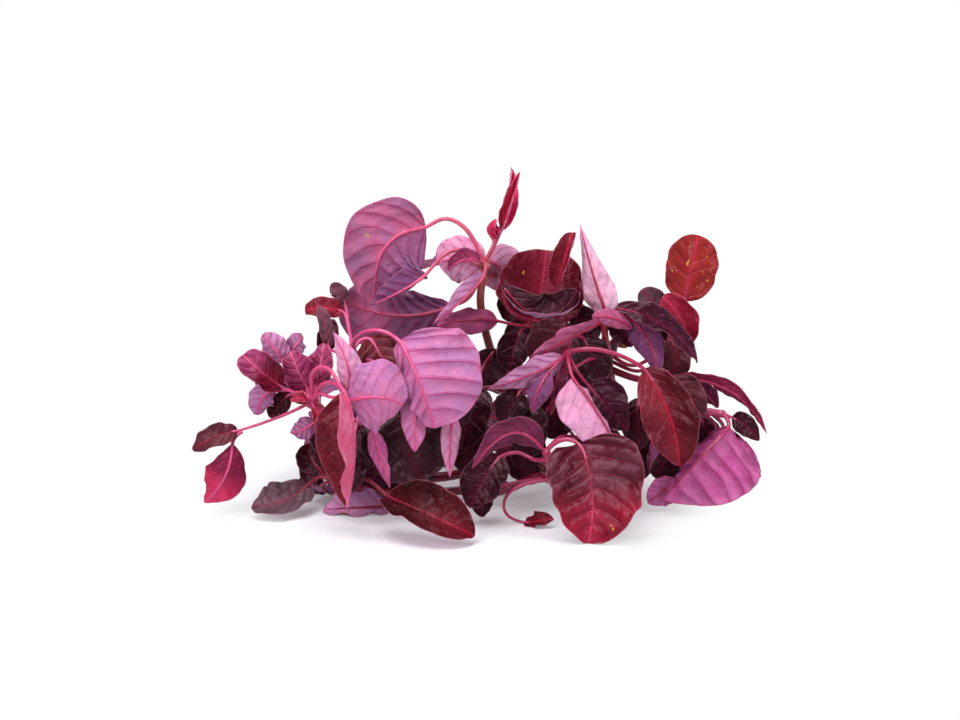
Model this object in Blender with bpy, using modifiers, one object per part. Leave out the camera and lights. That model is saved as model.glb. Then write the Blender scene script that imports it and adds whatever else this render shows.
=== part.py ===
"""A bunch of red amaranth greens: leafy shoots as picked, lying in a loose heap.

Each shoot is one solid: its stem, its leaf stalks and its blades, grown together.
Lengths are in millimetres and become metres when the meshes are made. +X runs across
the heap to the right, +Y to the back and +Z up, from the surface that it lies on.

Most places are given as seen from the front: (across, up, back), on an upright picture
plane through the middle of the heap, with back the distance behind that plane along
the line of sight.
"""

import math
from collections import namedtuple

import bmesh
import bpy
import numpy as np
from mathutils.bvhtree import BVHTree

MM = 0.001

# The line of sight: how far away the eye is, the height that it is level with on the
# picture plane, and how far it looks down.
EYE_DISTANCE = 1133.0
EYE_AIM = 72.5
EYE_TILT = math.radians(12.0)

# Moves the finished heap so that the middle of its box stands over the origin.
TO_CENTRE = np.array([-0.5, -11.5, 0.0])

BLADE_THICKNESS = 0.7
CLEARANCE = 0.45
STEM_SIDES = 6
STEM_RINGS = 7
STALK_SIDES = 4
STALK_ROOT_RADIUS = 1.25
STALK_BLADE_RADIUS = 0.95
RIB_END_RADIUS = 0.45
RIB_SHARES = (0.3,)
WAVES = 2.6
GOLDEN_ANGLE = 2.4

# How far a leaf may move along the line of sight, and its stalk to the side, to come clear of
# the others. The first that is clear is taken.
SHIFTS = [0, 2, -2, 4, -4, 6, 8, -6, 10, 12, -8, 14, 16, 18, 20]
SWAYS = [(0, 0, 0), (0, 0, 4), (0, 0, -4), (4, 0, 0), (-4, 0, 0), (0, 5, 0), (0, -5, 0), (0, 0, 8),
         (0, 5, 5), (7, 0, 4), (-7, 0, 4), (0, -8, 3)]

# Which way a blade's upper side looks, as (across, up, back).
FRONT = (0, 0, -1)
BACK = (0, 0, 1)

Leaf = namedtuple(
    "Leaf",
    "base middle tip width faces root via fold curl wave heel taper",
    defaults=(1.0, (), 8, 12, 1.0, 0.62, 0.75),
)
Leaf.__doc__ = """One leaf. base, middle and tip are on its midrib, as seen. root is where its stalk
leaves the stem, as a share of the stem's length or a point as seen, and via are points on
the stalk. fold and curl are how far, in degrees, each half rises at the midrib and bends
on towards its edge: one number, or two for the left and right half. heel and taper are
the outline's powers at its two ends, and wave is how far the edge waves, in millimetres.
width may be two numbers as well, each twice the width of its half."""

Shoot = namedtuple("Shoot", "name stem radii colour leaves")


def seen(across, up, back):
    """The place of a point given as seen from the front."""
    spread = (EYE_DISTANCE + back) / EYE_DISTANCE
    high = EYE_AIM + (up - EYE_AIM) * spread
    return np.array([
        across * spread,
        high * math.sin(EYE_TILT) + back * math.cos(EYE_TILT),
        high * math.cos(EYE_TILT) - back * math.sin(EYE_TILT),
    ]) + TO_CENTRE


def seen_direction(across, up, back):
    """A direction given as seen from the front."""
    return np.array([
        across,
        up * math.sin(EYE_TILT) + back * math.cos(EYE_TILT),
        up * math.cos(EYE_TILT) - back * math.sin(EYE_TILT),
    ])


def place(x, y, z):
    """A point given over the surface that the heap lies on."""
    return np.array([x, y, z], float) + TO_CENTRE


SHOOTS = [
    Shoot("shoot_crown",
          [place(30, 84, 3), place(24, 70, 14), place(10, 46, 55), seen(0.5, 98, 9), seen(2.5, 120.5, 4)],
          (2.6, 1.9), (0.62, 0.10, 0.22), [
        Leaf((-27, 138.5, 5), (-48, 128, 0), (-52, 100.5, 6), (40, 56), BACK, heel=0.5,
             via=((-4, 134, 3), (-11, 141.5, 3), (-19.5, 143.5, 4)), fold=(4, -4), curl=-10, wave=1.2),
        Leaf((-27.5, 114.5, -6), (-39, 107, -9), (-55, 99.5, -7), 19, BACK, fold=(2, 84), taper=0.9,
             via=((-5, 127, 0), (-15, 127, -2), (-24, 119, -5)), wave=0.4),
        Leaf((-12.5, 100, 4), (-40, 94.5, 10), (-69, 102.5, 6), 36, (0, -0.25, 1),
             via=((-1, 112, 0), (-6, 103, 1)), fold=6, wave=1.0, heel=0.9, taper=0.45),
        Leaf((1, 119, 9), (-10, 123, 12), (-21, 121, 11), 25, BACK, fold=10, heel=0.5, taper=0.5,
             via=((3, 121, 7),)),
        Leaf((4.5, 122, 12), (10.5, 117.5, 15), (14, 106, 15), 26, BACK, fold=8, heel=0.5, taper=0.6,
             via=((3.5, 121, 8),)),
        Leaf((10, 137, 5), (14, 152.5, 4), (15.5, 169, 6), 12, (0.55, 0.1, -0.8), fold=50, curl=20,
             via=((6, 128, 4),), wave=0.3, taper=0.8),
        Leaf((10.6, 137, 1.6), (16, 152, 1), (20, 166.5, 2), 10, (-0.5, 0.1, -0.85), fold=50, curl=20,
             via=((6.5, 128, 2.4),), wave=0.3, taper=0.8),
        Leaf((8.5, 132.5, 1), (3.6, 138, -1), (8, 142, 0), 15, (0.95, 0, -0.2), curl=75, wave=0.2, fold=20,
             via=((5, 127, 1),), heel=0.5, taper=0.5),
        Leaf((0, 121.5, -1), (-8, 122.5, -5), (-16, 117, -3), 12, (0, 0.5, -0.8), fold=28, curl=30, wave=0.9,
             via=((1, 122, 0),)),
        Leaf((2.5, 116, -4), (-7, 104.5, -7), (-23.5, 90, -6), 12, (-0.6, 0.5, 0.4), fold=58, curl=12,
             via=((3, 119, -2),), wave=0.4, taper=0.95),
        Leaf((-3, 118, 18), (-18, 121, 32), (-34, 116, 44), 19, (-0.2, 1, 0.2)),
        Leaf((12, 114, 16), (26, 112, 28), (36, 98, 36), 26, (0.5, 0.9, 0.2), root=0.93),
    ]),
    Shoot("shoot_upper_middle",
          [place(-36, 84, 3), place(-14, 66, 16), place(16, 42, 50), seen(34, 82, 14), seen(36, 91, 9)],
          (2.4, 1.8), (0.45, 0.06, 0.12), [
        Leaf((27, 90, 6), (30.5, 108, 3), (33, 127.5, 9), 45, (0, 0.1, -1), taper=0.5, heel=0.5, fold=6),
        Leaf((38.5, 109, -6), (42.5, 123, -9), (46.5, 136, -5), 15, (-0.5, 0.1, -0.85), curl=55, fold=20,
             via=((36, 98, -2),), wave=0.5, heel=0.45, taper=0.55),
        Leaf((11, 110, -8), (31, 94, -14), (49, 107, -9), 25, (0, 0.8, -0.55), fold=22, curl=34,
             via=((26, 92, -1), (14, 98, -5)), taper=0.5, wave=0.6),
        Leaf((43, 92, 2), (36, 81, -1), (27, 70, 1), 26, FRONT, taper=0.6),
        Leaf((20, 87, 6), (17, 77.5, 3), (15, 67, 4), 18, (-0.2, 0, -1), curl=25, taper=0.6),
        Leaf((9, 92, 2), (-5, 92.5, -1), (-22, 89.5, -3), 14, (0.1, -0.2, 0.95), taper=0.8,
             via=((27, 89, 5), (18, 90, 3))),
        Leaf((45, 92, 16), (54, 98, 28), (58, 90, 42), 24, (0.4, 0.9, 0)),
    ]),
    Shoot("shoot_upper_right",
          [place(62, 90, 3), place(70, 68, 15), place(68, 40, 50), seen(63, 80, 2), seen(62, 92, -2)],
          (2.4, 1.7), (0.60, 0.07, 0.20), [
        Leaf((63, 96, -6), (56, 117, -8), (50, 140.5, -5), 17, (0.3, 0, 0.95), heel=0.3, taper=1.2,
             wave=0.5, fold=12),
        Leaf((69.5, 96.5, -5), (83, 84, -8), (89, 63.5, -8), 16, (0.1, -0.1, 1), taper=0.85, fold=10),
        Leaf((67, 98.5, -2), (91, 90, -4), (109, 71, -4), 16, (0.3, 0.55, -0.75), taper=0.9, fold=14),
        Leaf((95, 89, 3), (89, 98.5, 5), (80.5, 107.5, 5), 15, FRONT, taper=0.5,
             via=((84, 66, 6), (94, 78, 5)), root=0.8),
        Leaf((104, 80, 4), (100.5, 93.5, 1), (91, 104, 1), 18, (-0.3, 0, -1), taper=0.6,
             via=((88, 62, 8), (100, 70, 6)), root=0.76),
        Leaf((102, 102, 7), (105.5, 118.5, 5), (109, 135, 8), 27, (0.05, 0, -1), heel=0.5, taper=0.5, fold=5,
             curl=8, via=((92, 61, 12), (106, 76, 10), (104, 91, 9)), root=0.72, wave=0.7),
        Leaf((95, 84, 0), (97.5, 74.5, -2), (94.5, 63, 0), 17, FRONT, taper=0.5,
             via=((80, 68, 2), (89, 79, 1)), root=0.84),
        Leaf((60, 91, -12), (42.5, 82.5, -23), (22, 69.5, -25), 13, (-0.1, 0.75, 0.6), taper=0.85,
             via=((61, 93, -7),)),
        Leaf((76, 88, -9), (66, 93.5, -13), (56, 93.5, -13), 9, BACK, taper=0.6,
             via=((70, 90, -6),), wave=0.4),
        Leaf((63, 71, 8), (65, 77, 8), (68.5, 84, 10), 7, BACK, root=0.9),
        Leaf((69, 79, 14), (71.5, 82, 14), (75, 84, 16), 8, FRONT, root=0.88, wave=0.4),
        Leaf((66, 90, 14), (76, 90, 26), (88, 84, 38), 14, (0.4, 0.9, 0)),
        Leaf((52, 84, 16), (44, 82, 32), (38, 66, 46), 24, (0, 1, 0.3), root=0.85),
    ]),
    Shoot("shoot_centre",
          [place(-32, 34, 4), place(-4, 24, 12), place(30, 10, 38), seen(42, 66, -16),
           seen(43.5, 76.5, -20)],
          (2.6, 1.8), (0.62, 0.06, 0.24), [
        Leaf((42, 74, -24), (26, 65.5, -33), (3.5, 58, -36), 14, (0, 0.35, 0.95), taper=1.0, wave=0.8),
        Leaf((46, 64, -34), (60, 44, -42), (75, 17, -46), 34, BACK, taper=1.15, heel=0.5, fold=(4, 80),
             curl=(12, 10), via=((44.5, 71, -28),), wave=0.8),
        Leaf((40, 69.5, -22), (38, 61.5, -27), (36, 53, -24), 12, (0.2, 0, 1)),
        Leaf((54, 60, -22), (63, 50, -26), (74, 37, -26), 25, (-0.1, 0.2, -1), taper=0.95,
             via=((48.5, 67, -24),), fold=14),
        Leaf((34.5, 66.5, -28), (29, 56.5, -33), (26, 45.5, -32), 12, (0.3, 0, 1), taper=0.95,
             via=((40, 72, -26),)),
        Leaf((20, 57, -18), (15.5, 49.5, -22), (10, 41.5, -21), 17, FRONT, taper=0.6,
             via=((34, 66, -19),)),
        Leaf((82.5, 68, -28), (95, 44.5, -35), (100, 19.5, -32), 28, (-0.2, 0.15, -1), taper=0.65, wave=1.2,
             via=((50, 78, -23), (60, 77.5, -25), (72, 74, -27)), fold=12),
    ]),
    Shoot("shoot_right",
          [place(6, 66, 4), place(48, 46, 13), place(86, 20, 34), seen(106, 46.5, -4), seen(122, 45.5, -8)],
          (2.5, 1.8), (0.60, 0.08, 0.26), [
        Leaf((98, 63.5, 0), (125.5, 57, -5), (143.5, 35.5, -6), 10, (0.25, 0.7, 0.55), taper=1.05, wave=0.8,
             via=((88, 63, 1),), root=0.62),
        Leaf((126, 43.5, -9), (132.5, 40, -12), (139.5, 32, -11), 11, FRONT, taper=0.8),
        Leaf((125, 39, -12), (110, 23.5, -22), (91.5, 2.5, -21), (34, 54), (0, 0.05, 1), fold=(78, 0),
             curl=(10, 8), via=((124, 43, -10),), wave=1.2, taper=0.75, heel=0.32),
        Leaf((94, 63.5, -8), (102, 53.5, -12), (106, 40, -12), 22, (0.1, 0.1, -1), taper=0.58,
             via=((84, 58, -2), (88, 62, -6)), root=0.66),
        Leaf((106, 61, 4), (112, 56.5, 3), (119, 48.5, 4), 12, (0.2, 0.5, 0.8), root=0.8,
             via=((100, 56, 4),)),
        Leaf((117.5, 33, -4), (109, 25.5, -7), (101, 17.5, -6), 19, (0.1, 0.3, -1), taper=0.6,
             via=((119, 40, -5),), root=0.9),
        Leaf((81, 59, -18), (86, 40, -21), (84.5, 16, -20), 13, (1, 0, 0.35), taper=0.9, root=0.66,
             via=((84, 60, -12),)),
        Leaf((79, 53.5, -12), (78.5, 41, -14), (80, 28, -12), 16, FRONT, root=0.6, taper=0.6),
        Leaf((99, 13, -8), (91, 6.5, -14), (83.5, 1, -13), 15, (-0.2, -0.3, 0.9), root=0.72,
             via=((104, 30, -6), (104, 20, -6)), wave=1.4),
        Leaf((122, 34, 6), (122, 23, 20), (114, 13, 32), 22, (0.5, 0.9, 0.2), root=0.95),
        Leaf((104, 48, 12), (98, 44, 28), (96, 30, 40), 20, (0.1, 1, 0.3), root=0.8),
    ]),
    Shoot("shoot_front",
          [place(0, 2, 5), place(14, -2, 9), place(28, -8, 17), seen(35.5, 13, -38), seen(33, 27, -41)],
          (2.4, 1.7), (0.52, 0.05, 0.16), [
        Leaf((50, 30.5, -47), (56, 6.5, -63), (54, -20.5, -66), (50, 40), (-0.05, 0.35, -1), taper=0.78,
             heel=0.4, via=((37, 31, -43), (43, 33.5, -44)), fold=10, wave=1.8),
        Leaf((49, 34, -36), (61, 28, -41), (74, 18, -42), 22, (0.1, 0.4, -1), taper=0.65,
             via=((40, 34, -39),)),
        Leaf((22.5, -9.5, -32), (29, -8, -38), (37, -7, -40), 10, (-0.1, 0.6, -0.8), root=0.78, curl=30,
             via=((23, 11, -35), (14.5, 7, -35), (10.5, 0, -34), (14, -7, -32)), taper=0.7),
        Leaf((31, 28, -42), (15, 36, -49), (-4, 18, -49), 16, (-0.2, 0.5, 0.85), taper=0.9, wave=0.7),
        Leaf((10, 24.5, -30), (2, 13, -37), (-5, -1.5, -38), 22, (-0.1, 0.2, -1), taper=0.65,
             via=((28, 22, -34), (18, 27, -30)), root=0.95, wave=1.6),
        Leaf((4, 8, -26), (1, 1.5, -30), (2, -6, -27), 11, (0, 0.2, -1), root=0.6, wave=0.8,
             via=((10, 10, -24),)),
        Leaf((24, 34, -34), (24, 42, -26), (22, 40, -14), 20, (0, 0.8, -0.5)),
    ]),
    Shoot("shoot_front_left",
          [place(14, 22, 4), place(-22, 6, 5), place(-52, -6, 9), seen(-74, 13, -14)],
          (2.4, 1.8), (0.50, 0.05, 0.18), [
        Leaf((-46, 4, -46), (-27, -4, -62), (-3, -15.5, -66), (30, 31), (0.1, 0.72, -0.7),
             fold=(24, 5), curl=(40, 34), via=((-66, 15, -24), (-55, 12, -36)), taper=0.5, heel=0.5,
             wave=0.7),
        Leaf((-44, -1, -12), (-61, -1.5, -14), (-78.5, -2.5, -13), 20, (0, -0.5, 0.85), root=0.7, wave=2.0,
             fold=-18, via=((-50, 6, -8), (-42, 4, -10)), taper=0.6),
        Leaf((-31, 4.6, 15), (-45, 5.0, 18.6), (-61, 5.6, 22), 21, (0, 0.98, -0.2), root=0.42, fold=0,
             curl=6, wave=0, taper=0.6),
        Leaf((-86, 10, -8), (-99.5, 1.5, -19), (-114, 0, -21), 24, (0.15, 0.8, -0.6), taper=0.5, fold=10,
             via=((-80, 15, -12),), heel=0.5),
        Leaf((-79, 17, 0), (-84, 23, 4), (-85.5, 31, 4), 16, FRONT, taper=0.55),
        Leaf((-72, 20, -18), (-66, 28, -22), (-60, 40, -22), 22, (0.1, 0.1, -1), taper=0.6),
        Leaf((-80, 10, -6), (-74, 6, 6), (-72, 9, 22), 22, (0, 1, 0), root=0.9),
    ]),
    Shoot("shoot_left",
          [place(-16, 66, 4), place(-46, 38, 22), place(-72, 10, 42), seen(-84, 51.5, -19)],
          (2.6, 1.9), (0.66, 0.08, 0.26), [
        Leaf((-66, 51.5, -49), (-52, 54, -57), (-38, 50, -52), 37, (0.1, 0, 1), taper=0.52, heel=0.5,
             via=((-78, 61.5, -32), (-71, 60, -42)), fold=6),
        Leaf((-66, 55, -48), (-66, 69.5, -54), (-73.5, 86.5, -50), 14, (0.35, 0, 1), taper=0.95, wave=0.5,
             via=((-80, 56, -30), (-72, 53, -42))),
        Leaf((-68, 57, -52), (-63, 30, -58), (-66.5, -1.5, -52), 37, (-1, 0, -0.25),
             via=((-84, 60, -24), (-84, 66.5, -30), (-79, 69.5, -35), (-74, 67, -40), (-71, 61, -46)),
             fold=(28, 72), curl=(8, 8), taper=0.85, wave=0.8),
        Leaf((-121, 37, -17), (-131, 34.5, -20), (-144, 28, -17), 13, (0, 0.4, -0.9), taper=0.6, wave=1.3,
             via=((-100, 44, -19), (-113, 39.5, -18))),
        Leaf((-124, 31.5, -18), (-127, 15, -22), (-137.5, 1.5, -14), 21, (-0.1, 0, 1), heel=1.05, taper=0.85,
             root=(-119, 36.9, -17.4), via=((-122.5, 35, -17.6),), wave=0.8),
        Leaf((-98, 70.5, -17), (-102.5, 78, -21), (-109, 85, -19), 14, (0.1, 0, 1), taper=0.5, heel=0.5,
             via=((-90, 58, -17), (-96, 62, -16))),
        Leaf((-95, 74, -10), (-92, 80, -13), (-88, 84, -9), 11, (0, 0.3, 1), taper=0.55,
             via=((-88, 60, -13), (-94, 66, -11))),
        Leaf((-99, 59, -22), (-108.5, 66, -29), (-118.5, 75, -25), 19, (0.35, 0.15, -1), taper=0.5, fold=16,
             curl=26, via=((-90, 55, -22),)),
        Leaf((-101, 57.5, -16), (-108.5, 54, -20), (-111, 45, -18), 14, (-0.1, 0, 1), taper=0.55,
             via=((-92, 57, -17),)),
        Leaf((-95, 56, -11), (-100, 50.5, -12), (-105, 43.5, -12), 11, FRONT, taper=0.6,
             via=((-89, 55, -14),)),
        Leaf((-86, 58, -17), (-91, 67, -23), (-95, 77, -20), 18, (0.2, 0, -1), wave=1.6, curl=20),
        Leaf((-82, 60, -14), (-80, 69, -17), (-78, 81, -13), 15, (-0.2, 0, -1), wave=1.4, curl=20),
        Leaf((-82, 42, -18), (-87.5, 38, -21), (-95, 36, -19), 12, (0, 0.3, 0.95), wave=1.2, root=0.96),
        Leaf((-83, 49, -24), (-81, 44, -27), (-80.5, 39, -25), 7, (0.3, 0.1, -1), wave=0.4, fold=20),
        Leaf((-87, 53, -24), (-90, 53.5, -26), (-95, 52.5, -24), 7, (0, 0.5, -0.8), wave=0.4, fold=20),
        Leaf((-54, 38, -40), (-50, 25, -43), (-45, 8.5, -42), 9, (-0.25, 0, 1), taper=1.0, root=0.93,
             via=((-72, 46, -30), (-60, 43, -38)), wave=0.5),
        Leaf((-92, 60, 4), (-102, 64, 14), (-108, 56, 24), 22, (-0.4, 0.9, 0), root=0.95),
    ]),
    Shoot("shoot_centre_left",
          [place(-48, 84, 3), place(-56, 56, 22), place(-58, 16, 54), seen(-64, 77, -24)],
          (2.5, 1.9), (0.66, 0.12, 0.30), [
        Leaf((-40.5, 82.5, -45), (-31, 63, -56), (-22.5, 38, -52), (20, 63), (-0.15, 0.05, 1), fold=(30, -6),
             via=((-62.5, 83, -31), (-58, 86.5, -37), (-51.5, 87.5, -41), (-45.5, 86, -44)),
             curl=(14, -14), wave=1.8, taper=0.45, heel=0.48),
        Leaf((-31, 60, -42), (-32.5, 44, -47), (-32.5, 26.5, -46), 14, (-0.1, 0, 1), taper=0.8, wave=0.5,
             via=((-55, 72, -30), (-38, 68, -38)), root=0.97),
        Leaf((-13, 45, -38), (-15, 31, -41), (-15, 14, -40), 10, (-0.1, 0, 1), taper=1.05, wave=0.5,
             via=((-55, 70, -26), (-28, 60, -34)), root=0.95),
        Leaf((-44, 54, -28), (-37.5, 35, -36), (-30, 11, -36), 46, (0.05, 0.1, -1), taper=0.55, wave=1.8,
             via=((-54, 66, -26),), root=0.94),
        Leaf((-55, 84, -18), (-47.5, 70, -26), (-41, 53, -26), 27, (0.1, 0.1, -1), wave=1.4,
             via=((-61, 82, -20),)),
        Leaf((-62, 38, -16), (-66, 21.5, -24), (-68, 4, -24), 22, (-0.1, 0.1, -1), root=0.7, taper=0.65),
        Leaf((-76, 78, -8), (-77, 88.5, -9), (-81, 100, -6), 8, (0.3, 0, -1), wave=0.4, taper=0.7,
             via=((-70, 76, -16),)),
        Leaf((-67.5, 96.5, 0), (-77.5, 98.5, -3), (-87.5, 97, 0), 12, (0, 0.45, -0.9), taper=0.45, heel=0.5,
             via=((-65, 86, -12),)),
        Leaf((-67, 100, 9), (-70, 106, 7), (-75, 109.5, 9), 8, FRONT, taper=0.5,
             via=((-65, 86, -8), (-66, 94, 5)), root=0.96),
        Leaf((-44, 76, -4), (-38, 80, 6), (-32, 72, 16), 24, (0.3, 0.9, 0), root=0.88),
    ]),
    Shoot("shoot_inner",
          [place(44, 35, 4), place(26, 30, 14), place(4, 18, 34), seen(-4, 56, -6)],
          (2.4, 1.8), (0.36, 0.04, 0.12), [
        Leaf((-4, 62, -10), (-6, 47, -15), (-9, 28, -16), 24, FRONT, taper=0.65),
        Leaf((16, 54, -4), (22, 40, -10), (26, 24, -12), 24, (0.1, 0, -1), taper=0.65),
        Leaf((-16, 56, -8), (-26, 42, -12), (-32, 26, -12), 24, (-0.1, 0.1, -1), taper=0.65),
        Leaf((-18, 64, 2), (-28, 72, 8), (-40, 74, 10), 22, (0, 0.6, -0.8)),
        Leaf((-12, 58, 8), (-22, 60, 22), (-26, 50, 36), 24, (-0.2, 1, 0.2), root=0.92),
    ]),
    Shoot("shoot_back_left",
          [place(-66, 83, 4), place(-74, 76, 8), place(-82, 65, 17), place(-84, 52, 34)],
          (2.5, 1.8), (0.52, 0.06, 0.18), [
        Leaf((-86, 50, 41), (-97, 57, 40), (-108, 60, 38), 20, (-0.2, 0.9, -0.4)),
        Leaf((-80, 54, 48), (-80, 64, 56), (-78, 70, 64), 26, (0, 0.4, 0.9)),
        Leaf((-82, 38, 48), (-79, 26, 54), (-76, 16, 56), 20, (-0.6, 0.5, 0.7)),
        Leaf((-76, 44, 56), (-72, 42, 72), (-68, 28, 80), 28, (0, 0.8, 0.7)),
        Leaf((-66, 38, 54), (-54, 38, 66), (-46, 24, 74), 26, (0.2, 0.8, 0.6), root=0.8),
        Leaf((-72, 26, 40), (-70, 16, 44), (-66, 12, 44), 22, (-0.3, 1, 0.1), root=0.7),
    ]),
    Shoot("shoot_back",
          [place(16, 81, 4), place(5, 80, 13), place(-3, 76, 27), place(-4, 74, 42)],
          (2.5, 1.8), (0.56, 0.07, 0.20), [
        Leaf((-8, 60, 68), (-16, 66, 74), (-26, 60, 80), 28, (-0.2, 0.8, 0.5)),
        Leaf((2, 60, 66), (14, 60, 70), (27, 56, 72), 22, (0.2, 0.7, 0.7)),
        Leaf((-4, 46, 74), (-8, 42, 86), (-12, 26, 88), 30, (-0.1, 0.5, 0.9)),
        Leaf((4, 44, 72), (16, 40, 82), (26, 26, 84), 28, (0.3, 0.5, 0.9), root=0.95),
        Leaf((-6, 66, 62), (-16, 76, 58), (-27, 80, 54), 22, (0, 0.2, 1)),
        Leaf((-14, 46, 66), (-30, 44, 72), (-42, 30, 74), 26, (-0.4, 0.7, 0.6), root=0.92),
        Leaf((6, 34, 68), (20, 33, 76), (34, 28, 74), 20, (0.2, 1, 0.3), root=0.8),
    ]),
    Shoot("shoot_back_right",
          [place(76, 82, 4), place(84, 74, 8), place(92, 64, 16), place(98, 52, 30)],
          (2.5, 1.8), (0.54, 0.06, 0.18), [
        Leaf((96, 40, 43), (106, 30, 42), (117, 22, 40), 22, (0.3, 0.9, -0.3)),
        Leaf((90, 46, 50), (88, 54, 54), (86, 60, 60), 22, (0, 0.4, 0.9)),
        Leaf((96, 34, 50), (106, 22, 56), (112, 10, 58), 24, (0.6, 0.5, 0.7)),
        Leaf((90, 44, 56), (90, 42, 70), (88, 28, 78), 26, (0, 0.8, 0.7)),
        Leaf((82, 40, 52), (68, 40, 62), (58, 32, 70), 22, (-0.2, 0.8, 0.6), root=0.82),
        Leaf((98, 24, 42), (110, 18, 44), (120, 14, 42), 22, (0.4, 1, 0.1), root=0.85),
    ]),
]


def unit(vectors):
    """Vectors of length one, along the last axis."""
    return vectors / np.linalg.norm(vectors, axis=-1, keepdims=True)


def smooth_route(points, count):
    """Evenly spaced points on the curve through the given ones: each span is the cubic whose
    end directions run parallel to the line between the neighbouring points."""
    points = np.asarray(points, float)
    ends = np.vstack([2 * points[0] - points[1], points, 2 * points[-1] - points[-2]])
    steps = np.linspace(0, 1, 9)[:-1, None]
    fine = []
    for before, start, end, after in zip(ends, ends[1:], ends[2:], ends[3:]):
        fine.append(start + 0.5 * steps * (end - before + steps * (
            2 * before - 5 * start + 4 * end - after + steps * (3 * start - before - 3 * end + after))))
    fine = np.vstack([*fine, points[-1:]])
    along = np.concatenate([[0], np.cumsum(np.linalg.norm(np.diff(fine, axis=0), axis=1))])
    wanted = np.linspace(0, along[-1], count)
    return np.stack([np.interp(wanted, along, fine[:, i]) for i in range(3)], axis=1)


def midrib(leaf, shift, share):
    """Points and directions on the curve that starts at the base and passes the middle half way."""
    base, middle, tip = (seen(a, u, b + shift) for a, u, b in (leaf.base, leaf.middle, leaf.tip))
    control = 2 * middle - (base + tip) / 2
    share = np.asarray(share, float)[..., None]
    points = (1 - share) ** 2 * base + 2 * share * (1 - share) * control + share ** 2 * tip
    return points, unit(2 * (1 - share) * (control - base) + 2 * share * (tip - control))


def outline(leaf, share):
    """Half width of the blade as a share of its widest: two powers that meet at one."""
    widest = leaf.heel / (leaf.heel + leaf.taper)
    rising = np.clip(share / widest, 0, None) ** leaf.heel
    falling = np.clip((1 - share) / (1 - widest), 0, None) ** leaf.taper
    return rising * falling


def blade_surface(leaf, number, shift, share, across):
    """Points of the blade's middle surface: share runs from base to tip, and across from -1 at
    the left edge to 1 at the right. Each half is an arc that leaves the midrib at the fold
    and turns through the curl on its way to the edge, which waves."""
    rib, along = midrib(leaf, shift, share)
    faces = seen_direction(*leaf.faces)
    upward = unit(faces - (along @ faces)[..., None] * along)
    sideways = np.cross(along, upward)
    left, right = across < 0, np.abs(across)
    fold = np.radians(np.where(left, *np.broadcast_to(leaf.fold, 2)))
    curl = np.radians(np.where(left, *np.broadcast_to(leaf.curl, 2)))
    half = np.where(left, *np.broadcast_to(leaf.width, 2)) / 2 * outline(leaf, share)
    bend = fold + curl * right
    reach = half * (np.sin(bend) - np.sin(fold)) / curl * np.sign(across)
    lift = half * (np.cos(fold) - np.cos(bend)) / curl
    phase = number * GOLDEN_ANGLE + np.where(left, GOLDEN_ANGLE, 0)
    lift = lift + leaf.wave * right ** 2 * outline(leaf, share) * np.sin(2 * math.pi * WAVES * share + phase)
    points = rib + reach[..., None] * sideways + lift[..., None] * upward
    points[..., 2] = np.maximum(points[..., 2], BLADE_THICKNESS / 2)
    return points


def grid_size(leaf):
    """Rows and columns of faces on a blade: more on a big or a bent one."""
    bend = np.abs(np.add(leaf.fold, leaf.curl)).max()
    wide = np.max(leaf.width)
    if wide > 33:
        return 5, 4
    return (4, 4) if bend > 24 and wide > 14 else (4, 2)


def row_shares(steps):
    """Shares of the length that crowd towards both ends, where the outline is round."""
    return (1 - np.cos(np.pi * steps)) / 2


def stem_point(shoot, share):
    """The point at that share of the stem's length, and the stem's direction there."""
    route = smooth_route(shoot.stem, 41)
    index = min(int(round(share * 40)), 39)
    return route[index + (share >= 1)], unit(route[index + 1] - route[index])


def stalk_route(shoot, leaf, shift, sway):
    """The leaf stalk's points, from inside the stem to well along the midrib."""
    if isinstance(leaf.root, tuple):
        root, rising = seen(*leaf.root), None
    else:
        root, rising = stem_point(shoot, leaf.root)
    (base,), (entering,) = midrib(leaf, shift, [0.0])
    if leaf.via:
        via = [seen(a, u, b + shift * (i + 1) / (len(leaf.via) + 1)) for i, (a, u, b) in enumerate(leaf.via)]
    else:
        gap = np.linalg.norm(base - root)
        arch = -entering if rising is None else rising - entering
        via = [(root + base) / 2 + 0.16 * gap * arch]
    middle = len(via) // 2
    via[middle] = via[middle] + sway
    outside = smooth_route([root, *via, base], max(2 + len(via), 4) if len(via) > 1 else 3)
    route = np.vstack([outside, midrib(leaf, shift, RIB_SHARES)[0]])
    route[:, 2] = np.maximum(route[:, 2], stalk_radii(leaf, len(route)))
    return route


def stalk_radii(leaf, count):
    """Radii along a stalk: thinner towards the blade, and thinnest along its midrib."""
    scale = min(1.0, 0.55 + np.max(leaf.width) / 60)
    free = np.linspace(STALK_ROOT_RADIUS, STALK_BLADE_RADIUS, count - len(RIB_SHARES))
    on_rib = np.linspace(STALK_BLADE_RADIUS, RIB_END_RADIUS, len(RIB_SHARES) + 1)[1:]
    return scale * np.concatenate([free, on_rib])


def grid_faces(rows, columns):
    """Corner numbers of the quads of a grid of points, row by row."""
    first = (np.arange(rows)[:, None] * (columns + 1) + np.arange(columns)).reshape(-1, 1)
    return first + np.array([0, 1, columns + 2, columns + 1])


def tube_hull(route, radii):
    """A four-sided tube round a route, for finding what it would cross."""
    along = unit(np.gradient(route, axis=0))
    first = unit(np.cross(along, (0.3, 0.2, 0.93)))
    second = np.cross(along, first)
    rings = [route + radii[:, None] * way for way in (first, second, -first, -second, first)]
    points = np.stack(rings, axis=1)
    return points.reshape(-1, 3), grid_faces(len(route) - 1, 4)


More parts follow.
